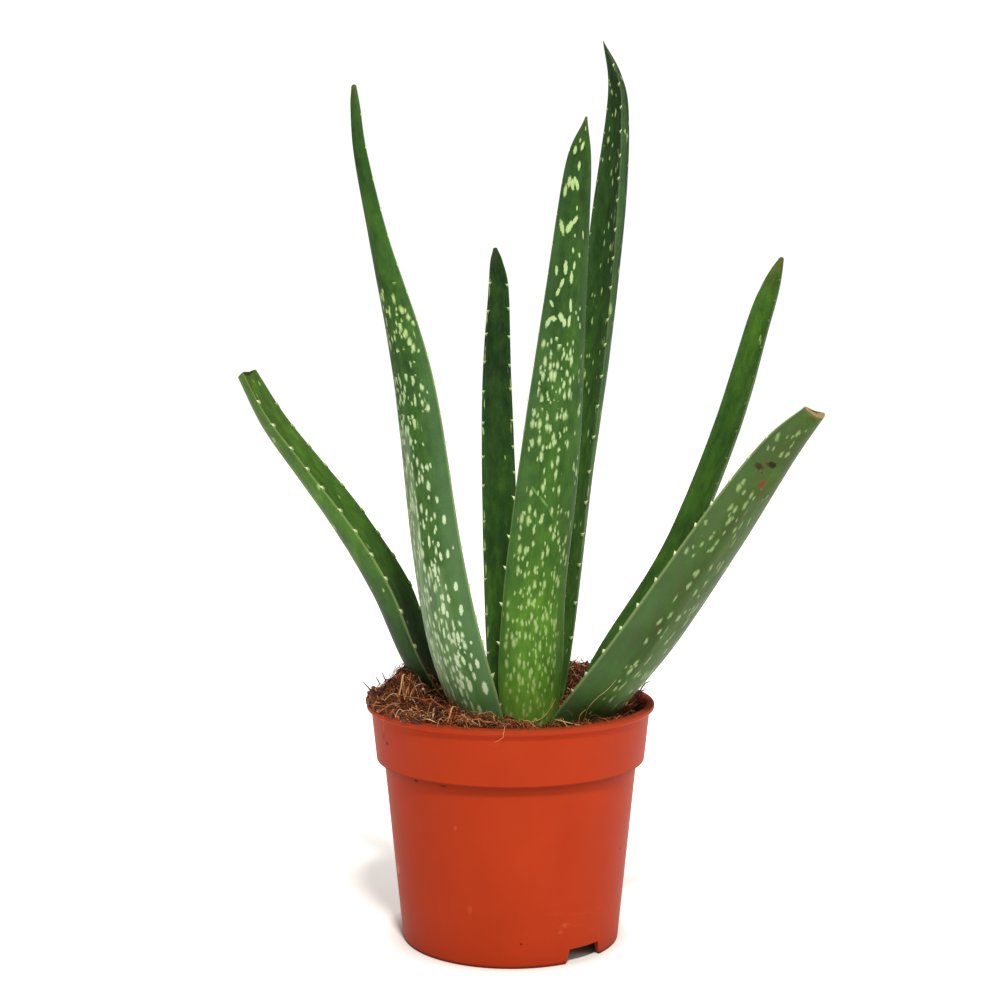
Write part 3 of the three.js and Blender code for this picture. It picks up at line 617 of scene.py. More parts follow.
def leaf_tree(skin, thorn_flesh):
    """A channelled section swept along a leaf's spine, and curved thorns set on its margins."""
    tree, node, given = new_tree("leaf_with_thorns", {"Belly": 0.35, "Channel": 0.1})
    parts = node("SeparateGeometry", given["Seed"], node("InputNamedAttribute", "thorn"))

    # The section on a unit circle: its upper half is the rounded outer face, its lower half the hollow one
    circle = node("CurvePrimitiveCircle", SECTION_POINTS, 1)
    corner = node("SeparateXYZ", node("InputPosition"))
    share_across, turn = corner.outputs["X"], corner.outputs["Y"]
    upper = node("Math MAXIMUM", turn, 0)
    lower = node("Math MINIMUM", turn, 0)
    belly = node("Math MULTIPLY", node("Math POWER", upper, 2 * BELLY_ROUNDNESS), given["Belly"])
    hollow = node("Math MULTIPLY_ADD", node("Math MULTIPLY", lower, lower), given["Channel"], belly)
    height = node("Math MULTIPLY_ADD", lower, MARGIN_ROUNDING, hollow)
    section = node("CombineXYZ", height, node("Math MULTIPLY", share_across, 0.5))
    noted = node("StoreNamedAttribute", circle, {"Name": "share_across", "Value": share_across})
    noted = node("StoreNamedAttribute", noted, {"Name": "turn", "Value": turn})
    profile = node("SetPosition", noted, {"Position": section})

    spine = node("MeshToCurve", parts.outputs["Inverted"])
    outward = node("InputNamedAttribute", "outward", data_type="FLOAT_VECTOR")
    faced = node("SetCurveNormal", spine, {"Normal": outward}, mode="FREE")
    blade = node("CurveToMesh", faced, profile, node("InputNamedAttribute", "width"), True)
    # A grown blade is never quite even: slow swells along it, and a cut end that has shrunk in
    centred = node("Math SUBTRACT", node("TexNoise", {"Scale": 38, "Detail": 2}), 0.5)
    depth = node("Math MULTIPLY", centred, UNEVENNESS * MM)
    push = node("VectorMath SCALE", node("InputNormal"), depth)
    sink = node("InputNamedAttribute", "sink", data_type="FLOAT_VECTOR")
    torn = node("Math MULTIPLY", node("TexNoise", {"Scale": 420, "Detail": 3}), 1.6)
    offset = node("VectorMath ADD", push, node("VectorMath SCALE", sink, torn))
    grown = node("SetShadeSmooth", node("SetPosition", blade, {"Offset": offset}))

    # One thorn, a unit tall: a flat hooked cone with hollow sides
    cone = node("MeshCone", 8, 5, {"Radius Top": 0, "Radius Bottom": 0.5, "Depth": 1})
    cone_corner = node("SeparateXYZ", node("InputPosition"))
    rise = cone_corner.outputs["Z"]
    slim = node("Math POWER", node("Math SUBTRACT", 1, rise, use_clamp=True), 0.45)
    hooked = node("Math MULTIPLY", node("Math MULTIPLY", rise, rise), 0.16)
    thorn_x = node("Math MULTIPLY_ADD", cone_corner.outputs["X"], slim, hooked)
    bent = node("CombineXYZ", thorn_x, node("Math MULTIPLY", cone_corner.outputs["Y"], slim), rise)
    template = node("StoreNamedAttribute", cone, {"Name": "thorn_rise", "Value": rise})
    template = node("SetShadeSmooth", node("SetPosition", template, {"Position": bent}))
    point = node("InputNamedAttribute", "thorn_point", data_type="FLOAT_VECTOR")
    run = node("InputNamedAttribute", "thorn_run", data_type="FLOAT_VECTOR")
    size = node("InputNamedAttribute", "thorn_size", data_type="FLOAT_VECTOR")
    turned = node("AxesToRotation", point, run)
    thorns = node(
        "InstanceOnPoints",
        parts.outputs["Selection"],
        {"Instance": template, "Rotation": turned, "Scale": size},
    )
    thorns = node("SetMaterial", node("RealizeInstances", thorns), {"Material": thorn_flesh})
    # The horn has its own material; setting the skin's on the rest closes the tree
    whole = node("RealizeInstances", node("JoinGeometry", [grown, thorns]))
    fleshy = node("Compare LESS_THAN", node("InputNamedAttribute", "thorn"), 0.5)
    whole = node("SetMaterial", whole, fleshy, skin)
    node("GroupOutput", whole)
    return tree


def patches(listed, height, across):
    """How full of spots or streaks the skin is at each point, from a leaf's patches, with soft ends."""
    filled = np.zeros(len(height))
    for low, high, left, right, share in listed:
        patch = smoothstep(low - 2, low + 2, height) * (1 - smoothstep(high - 2, high + 2, height))
        patch *= smoothstep(left - 0.08, left + 0.08, across)
        patch *= 1 - smoothstep(right - 0.08, right + 0.08, across)
        filled = np.maximum(filled, share * patch)
    return filled


def dress_leaf(name, leaf, index, tree):
    """One leaf as a finished piece, with what its skin shows stored on its points."""
    seed = leaf_seed(name, leaf, index)
    piece = grow(name + "_fine", seed, tree, Belly=leaf["belly"], Channel=leaf["channel"])
    mesh = piece.data
    across = take(mesh, "share_across")
    along = take(mesh, "along")
    width = take(mesh, "width") / MM
    cap = take(mesh, "cap")
    height = positions(mesh)[:, 2]
    hollow_face = smoothstep(0.1, 0.4, -take(mesh, "turn"))
    cover, streaks = (patches(leaf.get(kind, ()), height, across) for kind in ("spots", "streaks"))
    green_and_shade, bloom, olive = (np.interp(height, *zip(*leaf[kind])) for kind in ("green_and_shade", "bloom", "olive"))
    length = Spine(leaf).length
    dry = {
        "cut": smoothstep(length - 2.2, length + 0.2, along),
        "scorched": 0.5 * smoothstep(length - 17, length, along),
        "point": 0.45 * smoothstep(length - 3, length, along),
    }[leaf["tip"]]
    put(mesh, "leaf_place", np.stack([across * width / 2, along + LEAF_STEP * index, 0 * along], 1))
    put(mesh, "leaf_look", np.stack([green_and_shade + leaf["inside"] * hollow_face, bloom, olive], 1))
    put(mesh, "leaf_marks", np.stack([cover, streaks, leaf["margin"] + 0 * along], 1))
    put(mesh, "leaf_dry", np.maximum(dry, 0.85 * cap) * leaf.get("dryness", 1))
    for label in "along width cap sink thorn thorn_point thorn_run thorn_size outward turn".split():
        if label in mesh.attributes:
            mesh.attributes.remove(mesh.attributes[label])
    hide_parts(name)
    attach(piece, "root")
    return piece


def new_material(name):
    """An empty material and its adder of nodes."""
    made = bpy.data.materials.new(name)
    made.use_nodes = True
    made.node_tree.nodes.clear()
    return made, functools.partial(add, made.node_tree)


def leaf_skin():
    """Aloe skin: mottled greens, painted shade at one leaf's foot, pale spots in loose bands, a grey waxy
    bloom with a painted sheen on margins and streaked skin, and a pale horny margin.
    """
    made, node = new_material("aloe_leaf_skin")
    place, look, marks, dry, share = (
        node("Attribute", attribute_name=label).outputs
        for label in ("leaf_place", "leaf_look", "leaf_marks", "leaf_dry", "share_across")
    )
    place, dry = place["Vector"], dry["Fac"]
    green_and_shade, bloom, olive = node("SeparateXYZ", look["Vector"]).outputs
    cover, streaky, margin = node("SeparateXYZ", marks["Vector"]).outputs
    edge = node("Math ABSOLUTE", share["Fac"])
    # Noises drawn out along the leaf, by how fine they are across and along it per millimetre
    clouds, veins, smudges, waxes, veils, dry_cloud = (
        node("TexNoise", node("VectorMath MULTIPLY", place, (across, along, 1)), 1, detail, roughness)
        for across, along, detail, roughness in (
            (0.12, 0.04, 4, 0.6),
            (1.3, 0.04, 2, 0.5),
            (0.3, 0.12, 4, 0.65),
            (0.16, 0.05, 5, 0.65),
            (0.7, 0.06, 3, 0.6),
            (0.9, 0.5, 4, 0.7),
        )
    )

    # Green: slow clouds about 25 mm long, fine veins that run along the leaf, and mottling 3 to 8 mm across
    lit = green_and_shade
    for pattern, swing in ((clouds, 0.15), (veins, 0.035), (smudges, -0.15)):
        lit = node("Math ADD", lit, node("MapRange", pattern, 0.3, 0.7, -swing, swing))
    lit = node("Math MULTIPLY", lit, 0.7, use_clamp=True)
    skin = fill_ramp(
        node("ValToRGB", lit),
        (0, "#142a10"),
        (0.21, "#254318"),
        (0.42, "#385c1f"),
        (0.6, "#487122"),
        (0.7, "#558128"),
        (0.85, "#689330"),
        (1, "#8cab58"),
    )
    # Weathering: olive in the darker patches
    smudged = node("Math MULTIPLY", node("MapRange", smudges, 0.35, 0.65, 0.2), olive)
    # Margins are cooler and greyer: partly the wax, thickest there, and partly a painted sheen, the grey
    # reflection on the rounded sides
    wax_and_sheen_edge = node("MapRange", edge, 0.5, 0.97, interpolation_type="SMOOTHSTEP")
    wax_and_sheen_edge = node("Math MULTIPLY", node("Math MULTIPLY", wax_and_sheen_edge, bloom), 0.85)
    wax = node("Math MULTIPLY", node("MapRange", waxes, 0.35, 0.75, 0, 0.6), bloom)
    # A pale veil where streaks crowd together, drawn out along the leaf, which on waxy skin is also a painted
    # sheen
    veil_and_sheen = node("Math MULTIPLY", node("MapRange", veils, 0.3, 0.7, 0.2, 0.8), streaky)
    veil_and_sheen = node("Math MULTIPLY", veil_and_sheen, bloom)

    # Spots: pale flecks with wandering edges in cells of two sizes, and longer ones where it is streaked
    wander = node("TexNoise", place, 0.4, 2)
    wander = node("VectorMath SUBTRACT", wander.outputs["Color"], (0.5, 0.5, 0.5))
    wander = node("VectorMath MULTIPLY", wander, (1, 2.4, 0))
    wandering = node("VectorMath ADD", place, wander)
    flecks = 0
    for cell_width, cell_length, widest, amount, chance, strong in (
        (2.1, 6.4, 0.48, cover, 0.85, 1),
        (1.5, 4.2, 0.4, cover, 0.6, 1),
        (1.6, 9, 0.48, streaky, 0.85, 0.75),
    ):
        scaled = node("VectorMath MULTIPLY", wandering, (1 / cell_width, 1 / cell_length, 0))
        cells = node("TexVoronoi", scaled, {"Scale": 1, "Randomness": 0.9}, voronoi_dimensions="2D")
        drawn = node("SeparateColor", cells.outputs["Color"]).outputs
        present = node("Math LESS_THAN", drawn[0], node("Math MULTIPLY", amount, chance))
        reach = node("MapRange", drawn[1], {"To Min": widest * 0.62, "To Max": widest})
        inner = node("Math MULTIPLY", reach, 0.18)
        body = node("MapRange", cells, reach, inner, {"To Max": strong}, interpolation_type="SMOOTHSTEP")
        flecks = node("Math MAXIMUM", flecks, node("Math MULTIPLY", body, present))
    nearest = math.inf
    for order, spots in PLACED_SPOTS.items():
        for across, along, half_across, half_along, turn in spots:
            centre, half = (across, along + LEAF_STEP * order, 0), (half_across, half_along, math.inf)
            nearest = node("Math MINIMUM", nearest, from_middle(node, place, centre, half, turn))
    nearest = node("Math MULTIPLY_ADD", node("TexNoise", place, 1.1, 2), 0.9, nearest)
    placed = node("MapRange", nearest, 1.55, 1.1, interpolation_type="SMOOTHSTEP")
    flecks = node("Math MAXIMUM", flecks, placed)
    # They are fainter on weathered skin
    strength = node("Math MULTIPLY", flecks, node("Math MULTIPLY_ADD", olive, -0.66, 0.88))
    fleck_tone = node("Mix", bloom, "#97b365", "#b9caac", data_type="RGBA")
    for share, tone in (
        (smudged, "#444a26"), (wax_and_sheen_edge, "#4b6a46"), (wax, "#547347"), (veil_and_sheen, "#94aa88"), (strength, fleck_tone)
    ):
        skin = node("Mix", share, skin, tone, data_type="RGBA")

    # Blemishes: small scars and bruises, each a soft ellipse on its own leaf, with ragged edges
    frayed = node("MapRange", node("TexNoise", place, 1.6, 3, 0.7), {"To Min": -0.8, "To Max": 0.8})
    marks = [
        ((across, along + LEAF_STEP * order, 0), (half_across, half_along, math.inf), *rest)
        for order, across, along, half_across, half_along, *rest in BLEMISHES
    ]
    skin = marked(node, skin, place, frayed, (1.15, 0.6), marks)

    # The horny margin: a pale line about half a millimetre wide
    line = node("MapRange", edge, 0.972, 0.994, interpolation_type="SMOOTHSTEP")
    line = node("Math MULTIPLY", line, margin)
    # Dried tissue at a cut or scorched tip: olive first, then brown, palest where it has dried most
    dry_edge = node("MapRange", dry_cloud, {"To Min": -0.35, "To Max": 0.35})
    dried = node("Math ADD", dry, dry_edge, use_clamp=True)
    dried = node("Math MULTIPLY", dried, dry, use_clamp=True)
    brown = fill_ramp(node("ValToRGB", dried), (0.1, "#5c6030"), (0.5, "#5f4d2c"), (0.95, "#8a7a55"))
    browned = node("MapRange", dried, 0.05, 0.4, interpolation_type="SMOOTHSTEP")
    for share, tone in ((line, "#93a56c"), (browned, brown)):
        skin = node("Mix", share, skin, tone, data_type="RGBA")

    # Gloss: a smooth skin, duller where it is waxy; the surface has shallow pores and long ridges
    rough = node("Mix", browned, node("MapRange", wax, 0, 0.5, 0.42, 0.55), 0.85)
    relief = node("Math MULTIPLY_ADD", veins, 0.6, node("TexNoise", place, 2.2, 2))
    relief = node("Math MULTIPLY_ADD", dry_cloud, browned, relief)
    bump = node("Bump", 0.35, 0.00035, {"Height": relief})
    shader = node(
        "BsdfPrincipled",
        skin,
        {
            "Roughness": rough,
            "Normal": bump,
            "Specular IOR Level": 0.06,
            "Subsurface Weight": 0.05,
            "Subsurface Radius": (0.6, 1, 0.3),
            "Subsurface Scale": 0.002,
        },
    )
    node("OutputMaterial", shader)
    return made


def thorn_flesh():
    """Thorns: green at the root, then horny and nearly white."""
    made, node = new_material("aloe_thorn_horn")
    rise = node("Attribute", attribute_name="thorn_rise").outputs["Fac"]
    tone = fill_ramp(node("ValToRGB", rise), (0.2, "#7f9a55"), (0.62, "#dde2bd"), (1, "#c9b98c"))
    pale = node("Attribute", attribute_name="pale").outputs["Fac"]
    tone = node("Mix", pale, "#3c5a2a", tone, data_type="RGBA")
    speckle = node("TexNoise", node("TexCoord").outputs["Object"], 1800, 2)
    bump = node("Bump", 0.2, 0.0001, {"Height": speckle})
    shader = node(
        "BsdfPrincipled",
        tone,
        {"Roughness": 0.4, "Normal": bump, "Subsurface Weight": 0.15, "Subsurface Scale": 0.001},
    )
    node("OutputMaterial", shader)
    return made


def pot_tree(plastic):
    """The pot's profile, with its corners rounded, turned about the upright axis, less notches and holes."""
    tree, node, given = new_tree("turned_pot", {})
    parts = node("SeparateGeometry", given["Seed"], node("InputNamedAttribute", "cutter"))
    outline = node("MeshToCurve", parts.outputs["Inverted"])
    rounding = node("InputNamedAttribute", "rounding")
    outline = node("FilletCurve", outline, POT_CORNER_STEPS, rounding, True, mode="POLY")
    # The rail is a circle; the outline is drawn from it, outwards and downwards, so that the sweep turns it
    rail = node("CurvePrimitiveCircle", POT_SIDES, POT_RAIL_RADIUS * MM)
    rail = node("SetCurveNormal", rail, mode="Z_UP")
    wall = node("MergeByDistance", node("CurveToMesh", rail, outline, 1), {"Distance": 2e-06})
    pot = node("MeshBoolean DIFFERENCE", wall, parts.outputs["Selection"], solver="EXACT")
    smooth = node("SetShadeSmooth", pot)
    sharp = node("Compare GREATER_THAN", node("InputMeshEdgeAngle"), math.radians(32))
    painted = node("RealizeInstances", node("SetShadeSmooth", smooth, sharp, False, domain="EDGE"))
    painted = node("SetMaterial", painted, {"Material": plastic})
    node("GroupOutput", painted)
    return tree


def prism(outline, low, high, place):
    """The corners and faces of a closed prism over an outline, for cutting with."""
    count = len(outline)
    corners = [place @ Vector((x, y, z)) for z in (low, high) for x, y in outline]
    faces = [tuple(reversed(range(count))), tuple(range(count, 2 * count))]
    faces += [(i, (i + 1) % count, count + (i + 1) % count, count + i) for i in range(count)]
    return corners, faces


def dress_pot(plastic):
    """The moulded pot as a finished piece."""
    points = [(r - POT_RAIL_RADIUS, -z, 0) for r, z, _ in POT_PROFILE]
    outline_count = len(points)
    edges = [(i, i + 1) for i in range(outline_count - 1)]
    notch = [
        (-NOTCH_FOOT_WIDTH / 2 - NOTCH_FLARE, -1),
        (NOTCH_FOOT_WIDTH / 2 + NOTCH_FLARE, -1),
        (NOTCH_TOP_WIDTH / 2, FLOOR_UNDERSIDE_Z),
        (-NOTCH_TOP_WIDTH / 2, FLOOR_UNDERSIDE_Z),
    ]
    upright = Matrix.Rotation(math.pi / 2, 4, "X")
    turns = [Matrix.Rotation(math.radians(azimuth), 4, "Z") for azimuth in NOTCH_AZIMUTHS]
    cutters = [(notch, *NOTCH_CUT_RADII, turn @ upright) for turn in turns]
    ring = [2 * math.pi * k / FLOOR_HOLE_SIDES for k in range(FLOOR_HOLE_SIDES)]
    hole = [(FLOOR_HOLE_RADIUS * math.cos(a), FLOOR_HOLE_RADIUS * math.sin(a)) for a in ring]
    aside = Matrix.Translation((FLOOR_HOLE_CIRCLE, 0, 0))
    turns = [Matrix.Rotation(2 * math.pi * (k + 0.5) / FLOOR_HOLES, 4, "Z") for k in range(FLOOR_HOLES)]
    cutters += [(hole, *FLOOR_HOLE_CUT_HEIGHTS, turn @ aside) for turn in turns]
    faces = []
    for cutter in cutters:
        corners, sides = prism(*cutter)
        faces += [tuple(len(points) + k for k in side) for side in sides]
        points += [tuple(corner) for corner in corners]
    cutting = [0] * outline_count + [1] * (len(points) - outline_count)
    rounding = [corner * MM for _, _, corner in POT_PROFILE] + [0] * (len(points) - outline_count)
    seed = seed_mesh("pot_seed", points, edges, faces, rounding=rounding, cutter=cutting)
    piece = grow("pot_moulded", seed, pot_tree(plastic))
    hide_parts("pot")
    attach(piece, "root")
    return piece


def pot_plastic():
    """Moulded orange-red polypropylene: satin, faintly mottled, with rubbed marks, dust, dark specks, and
    painted shade on the lip, under the collar, along the foot and under the floor.
    """
    made, node = new_material("moulded_terracotta_plastic")
    place = node("TexCoord").outputs["Object"]
    height = node("SeparateXYZ", place).outputs["Z"]
    # Slow clouds of colour about 30 mm across, as the melt cooled
    clouds = node("TexNoise", place, 32, 3, 0.55)
    tone = node("MapRange", clouds, 0.3, 0.7)
    base = node("Mix", tone, "#982e10", "#9f3213", data_type="RGBA")
    # Rubbed marks: pale flat streaks round the body, 1 mm high and 10 mm long
    rubbed = node("TexNoise", node("VectorMath MULTIPLY", place, (70, 70, 700)), 1, 4, 0.7)
    rubbed = node("Math MULTIPLY", rubbed, node("TexNoise", place, 18, 1))
    rubbed = node("MapRange", rubbed, 0.36, 0.5, interpolation_type="SMOOTHSTEP")
    faint = node("Math MULTIPLY", rubbed, 0.1)
    # Soil dust on the lip and inside, which also serves as painted shade along the lip's top under the soil
    lip_band = node("MapRange", height, 0.0975, 0.1005, interpolation_type="SMOOTHSTEP")
    dust_and_shade = node("MapRange", node("TexNoise", place, 260, 4, 0.7), 0.42, 0.68, 0.3, 0.8)
    dust_and_shade = node("Math MULTIPLY", dust_and_shade, lip_band)
    # Painted shade in the corner under the collar, a dark band where the ledge shades the body
    corner_rise = node("MapRange", height, 0.0705, 0.0765, interpolation_type="SMOOTHSTEP")
    painted_collar_shade = node("Math MULTIPLY", corner_rise, node("Math LESS_THAN", height, 0.0766))
    painted_collar_shade = node("Math MULTIPLY", painted_collar_shade, 0.5)
    # Painted shade along the edge that it stands on, a thin dark contact line
    painted_contact_shade = node("MapRange", height, 0.0016, 0.0004, {"To Max": 0.75}, interpolation_type="SMOOTHSTEP")
    # Painted shade under the floor and inside the foot's ring, where the hollow under the pot lies in shade
    sideways = node("VectorMath MULTIPLY", place, (1, 1, 0))
    sideways = node("VectorMath LENGTH", sideways).outputs["Value"]
    in_ring = node("MapRange", sideways, 0.0445, 0.0436)
    painted_underside_shade = node("MapRange", height, 0.0068, 0.006, {"To Max": 0.85})
    painted_underside_shade = node("Math MULTIPLY", painted_underside_shade, in_ring)
    # A few dark specks half a millimetre wide
    cells = node("TexVoronoi", place, 60, {"Randomness": 1})
    few = node("Math LESS_THAN", node("SeparateColor", cells.outputs["Color"]), 0.1)
    speck = node("MapRange", cells, 0.035, 0.018, interpolation_type="SMOOTHSTEP")
    speck = node("Math MULTIPLY", speck, few)
    for share, tone in (
        (faint, "#bd6044"),
        (dust_and_shade, "#5c3420"),
        (painted_collar_shade, "#5b1a0a"),
        (painted_contact_shade, "#3c140a"),
        (painted_underside_shade, "#39402f"),
        (speck, "#3a1a12"),
    ):
        base = node("Mix", share, base, tone, data_type="RGBA")
    # The scuffs and dirt that the pot shows, each a soft ellipse on its wall
    frayed = node("MapRange", node("TexNoise", place, 900, 3), {"To Min": -0.7, "To Max": 0.7})
    marks = [
        (tuple(c * MM for c in centre), [h * MM for h in half], 0, *rest) for centre, half, *rest in POT_MARKS
    ]
    base = marked(node, base, place, frayed, (1.1, 0.5), marks)
    # Satin from the mould: fine etched grain, duller where it is rubbed or dusty
    gloss = node("MapRange", clouds, 0.3, 0.7, 0.46, 0.53)
    rough = node("Mix", node("Math MAXIMUM", rubbed, dust_and_shade), gloss, 0.62)
    waves = node("Math MULTIPLY_ADD", clouds, 6, node("TexNoise", place, 1900, 2))
    bump = node("Bump", 0.25, 0.00012, {"Height": waves})
    shader = node(
        "BsdfPrincipled",
        base,
        {
            "Roughness": rough,
            "Normal": bump,
            "Specular IOR Level": 0.05,
            "Subsurface Weight": 0.03,
            "Subsurface Scale": 0.001,
        },
    )
    node("OutputMaterial", shader)
    return made


def inside_radius(z):
    """The inside radius of the pot at a height."""
    radii, heights = zip(*SOIL_WALL)
    return np.interp(z, heights, radii)


def soil_height(x, y):
    """The height of the soil's surface, as the solid has it."""
    inner = smoothstep(0, SOIL_EDGE_BAND, inside_radius(SOIL_LEVEL) - np.hypot(x, y))
    z = SOIL_LEVEL + SOIL_SLOPE * x
    for cx, cy, rise, spread in SOIL_RISES:
        z = z + rise * inner * np.exp(-((x - cx) ** 2 + (y - cy) ** 2) / (2 * spread**2))
    for height, wx, wy, phase in SOIL_LUMPS:
        z = z + height * np.sin(wx * x + wy * y + phase) * mix(SOIL_EDGE_LUMPS, 1, inner)
    return z


def turned(radius, z, angles):
    """A ring of points about the upright axis."""
    return np.stack([radius * np.cos(angles), radius * np.sin(angles), z + 0 * angles], 1)


def soil_seed():
    """The soil as a closed turned plug with a fine top, and how loose its top is at each point."""
    sides = SOIL_SIDES
    angles = np.linspace(0, 2 * math.pi, sides, endpoint=False)
    mouth = inside_radius(SOIL_LEVEL)
    edge = inside_radius(soil_height(mouth * np.cos(angles), mouth * np.sin(angles))) - SOIL_CLEARANCE
    points = [turned(inside_radius(z) - SOIL_CLEARANCE, z, angles) for z in SOIL_WALL_HEIGHTS]
    top_start = len(points) * sides
    for ring in range(SOIL_RINGS, 0, -1):
        r = edge * ring / SOIL_RINGS
        points.append(turned(r, soil_height(r * np.cos(angles), r * np.sin(angles)), angles))
    count = len(points)
    points = np.vstack([*points, [(0, 0, SOIL_WALL_HEIGHTS[0]), (0, 0, soil_height(0, 0))]])
    faces = [
        (i * sides + k, i * sides + (k + 1) % sides, (i + 1) * sides + (k + 1) % sides, (i + 1) * sides + k)
        for i in range(count - 1)
        for k in range(sides)
    ]
    last = (count - 1) * sides
    faces += [((k + 1) % sides, k, len(points) - 2) for k in range(sides)]
    faces += [(last + k, last + (k + 1) % sides, len(points) - 1) for k in range(sides)]
    loose = np.zeros(len(points))
    loose[top_start:] = smoothstep(0, 3, mouth - np.hypot(*points[top_start:, :2].T))
    # The photo shows fewer strands on the right, where the soil is low
    loose *= 1 - 0.6 * smoothstep(28, 46, points[:, 0]) * (1 - smoothstep(20, 34, points[:, 1]))
    loose[-2] = 0
    return seed_mesh("soil_seed", points, (), faces, loose=loose)


def soil_tree(coir):
    """Crumbly coir: the plug's top raised in lumps of two sizes."""
    tree, node, given = new_tree("crumbled_soil", {"Lump height": 0.0034, "Crumb height": 0.0016})
    loose = node("InputNamedAttribute", "loose")
    lumps = node("TexNoise", {"Scale": 170, "Detail": 5, "Roughness": 0.7})
    lump = node("Math MULTIPLY", node("Math SUBTRACT", lumps, 0.55), given["Lump height"])
    crumb = node("Math SUBTRACT", 0.5, node("TexVoronoi", {"Scale": 300}))
    rise = node("Math MULTIPLY_ADD", crumb, given["Crumb height"], lump)
    rise = node("Math MULTIPLY", rise, loose)
    push = node("VectorMath SCALE", node("InputNormal"), rise)
    done = node("SetPosition", given["Seed"], {"Offset": push})
    done = node("StoreNamedAttribute", done, {"Name": "soil_rise", "Value": rise})
    done = node("RealizeInstances", node("SetShadeSmooth", done))
    done = node("SetMaterial", done, {"Material": coir})
    node("GroupOutput", done)
    return tree


def spill_seed(soil, placed_rows):
    """What loose coir lies on: the soil's top and the rim that it has spilled on, with the placed rows."""
    points = positions(soil.data)
    faces = [tuple(face.vertices) for face in soil.data.polygons]
    faces = [face for face in faces if min(points[v, 2] for v in face) > SPILL_FROM_Z]
    sides = SPILL_SIDES
    angles = np.linspace(0, 2 * math.pi, sides, endpoint=False)
    for ring in range(len(SPILL_LEDGE) - 1):
        inner = len(points) + ring * sides
        outer = inner + sides
        following = [(k, (k + 1) % sides) for k in range(sides)]
        faces += [(inner + k, outer + k, outer + after, inner + after) for k, after in following]
    points = np.vstack([points, *(turned(radius, z, angles) for radius, z in SPILL_LEDGE)])
    off_middle = np.abs(np.degrees(angles) - SPILL_AZIMUTH)
    spilled = 1 - smoothstep(SPILL_HALF_WIDTH - SPILL_FADE, SPILL_HALF_WIDTH, off_middle)
    loose = np.concatenate([take(soil.data, "loose"), np.tile(spilled, len(SPILL_LEDGE))])
    ground_count = len(points)
    tone, slimness, edges = [0] * ground_count, [0] * ground_count, []
    for shade, girth, path in placed_rows:
        edges += [(len(points) + k, len(points) + k + 1) for k in range(len(path) - 1)]
        points = np.vstack([points, path])
        tone += [shade] * len(path)
        slimness += [girth] * len(path)
    placed = np.arange(len(points)) >= ground_count
    loose = np.concatenate([loose, np.zeros(len(points) - ground_count)])
    values = {"loose": loose, "placed": placed, "tone": tone, "slimness": slimness}
    return seed_mesh("spill_seed", points, edges, faces, **values)


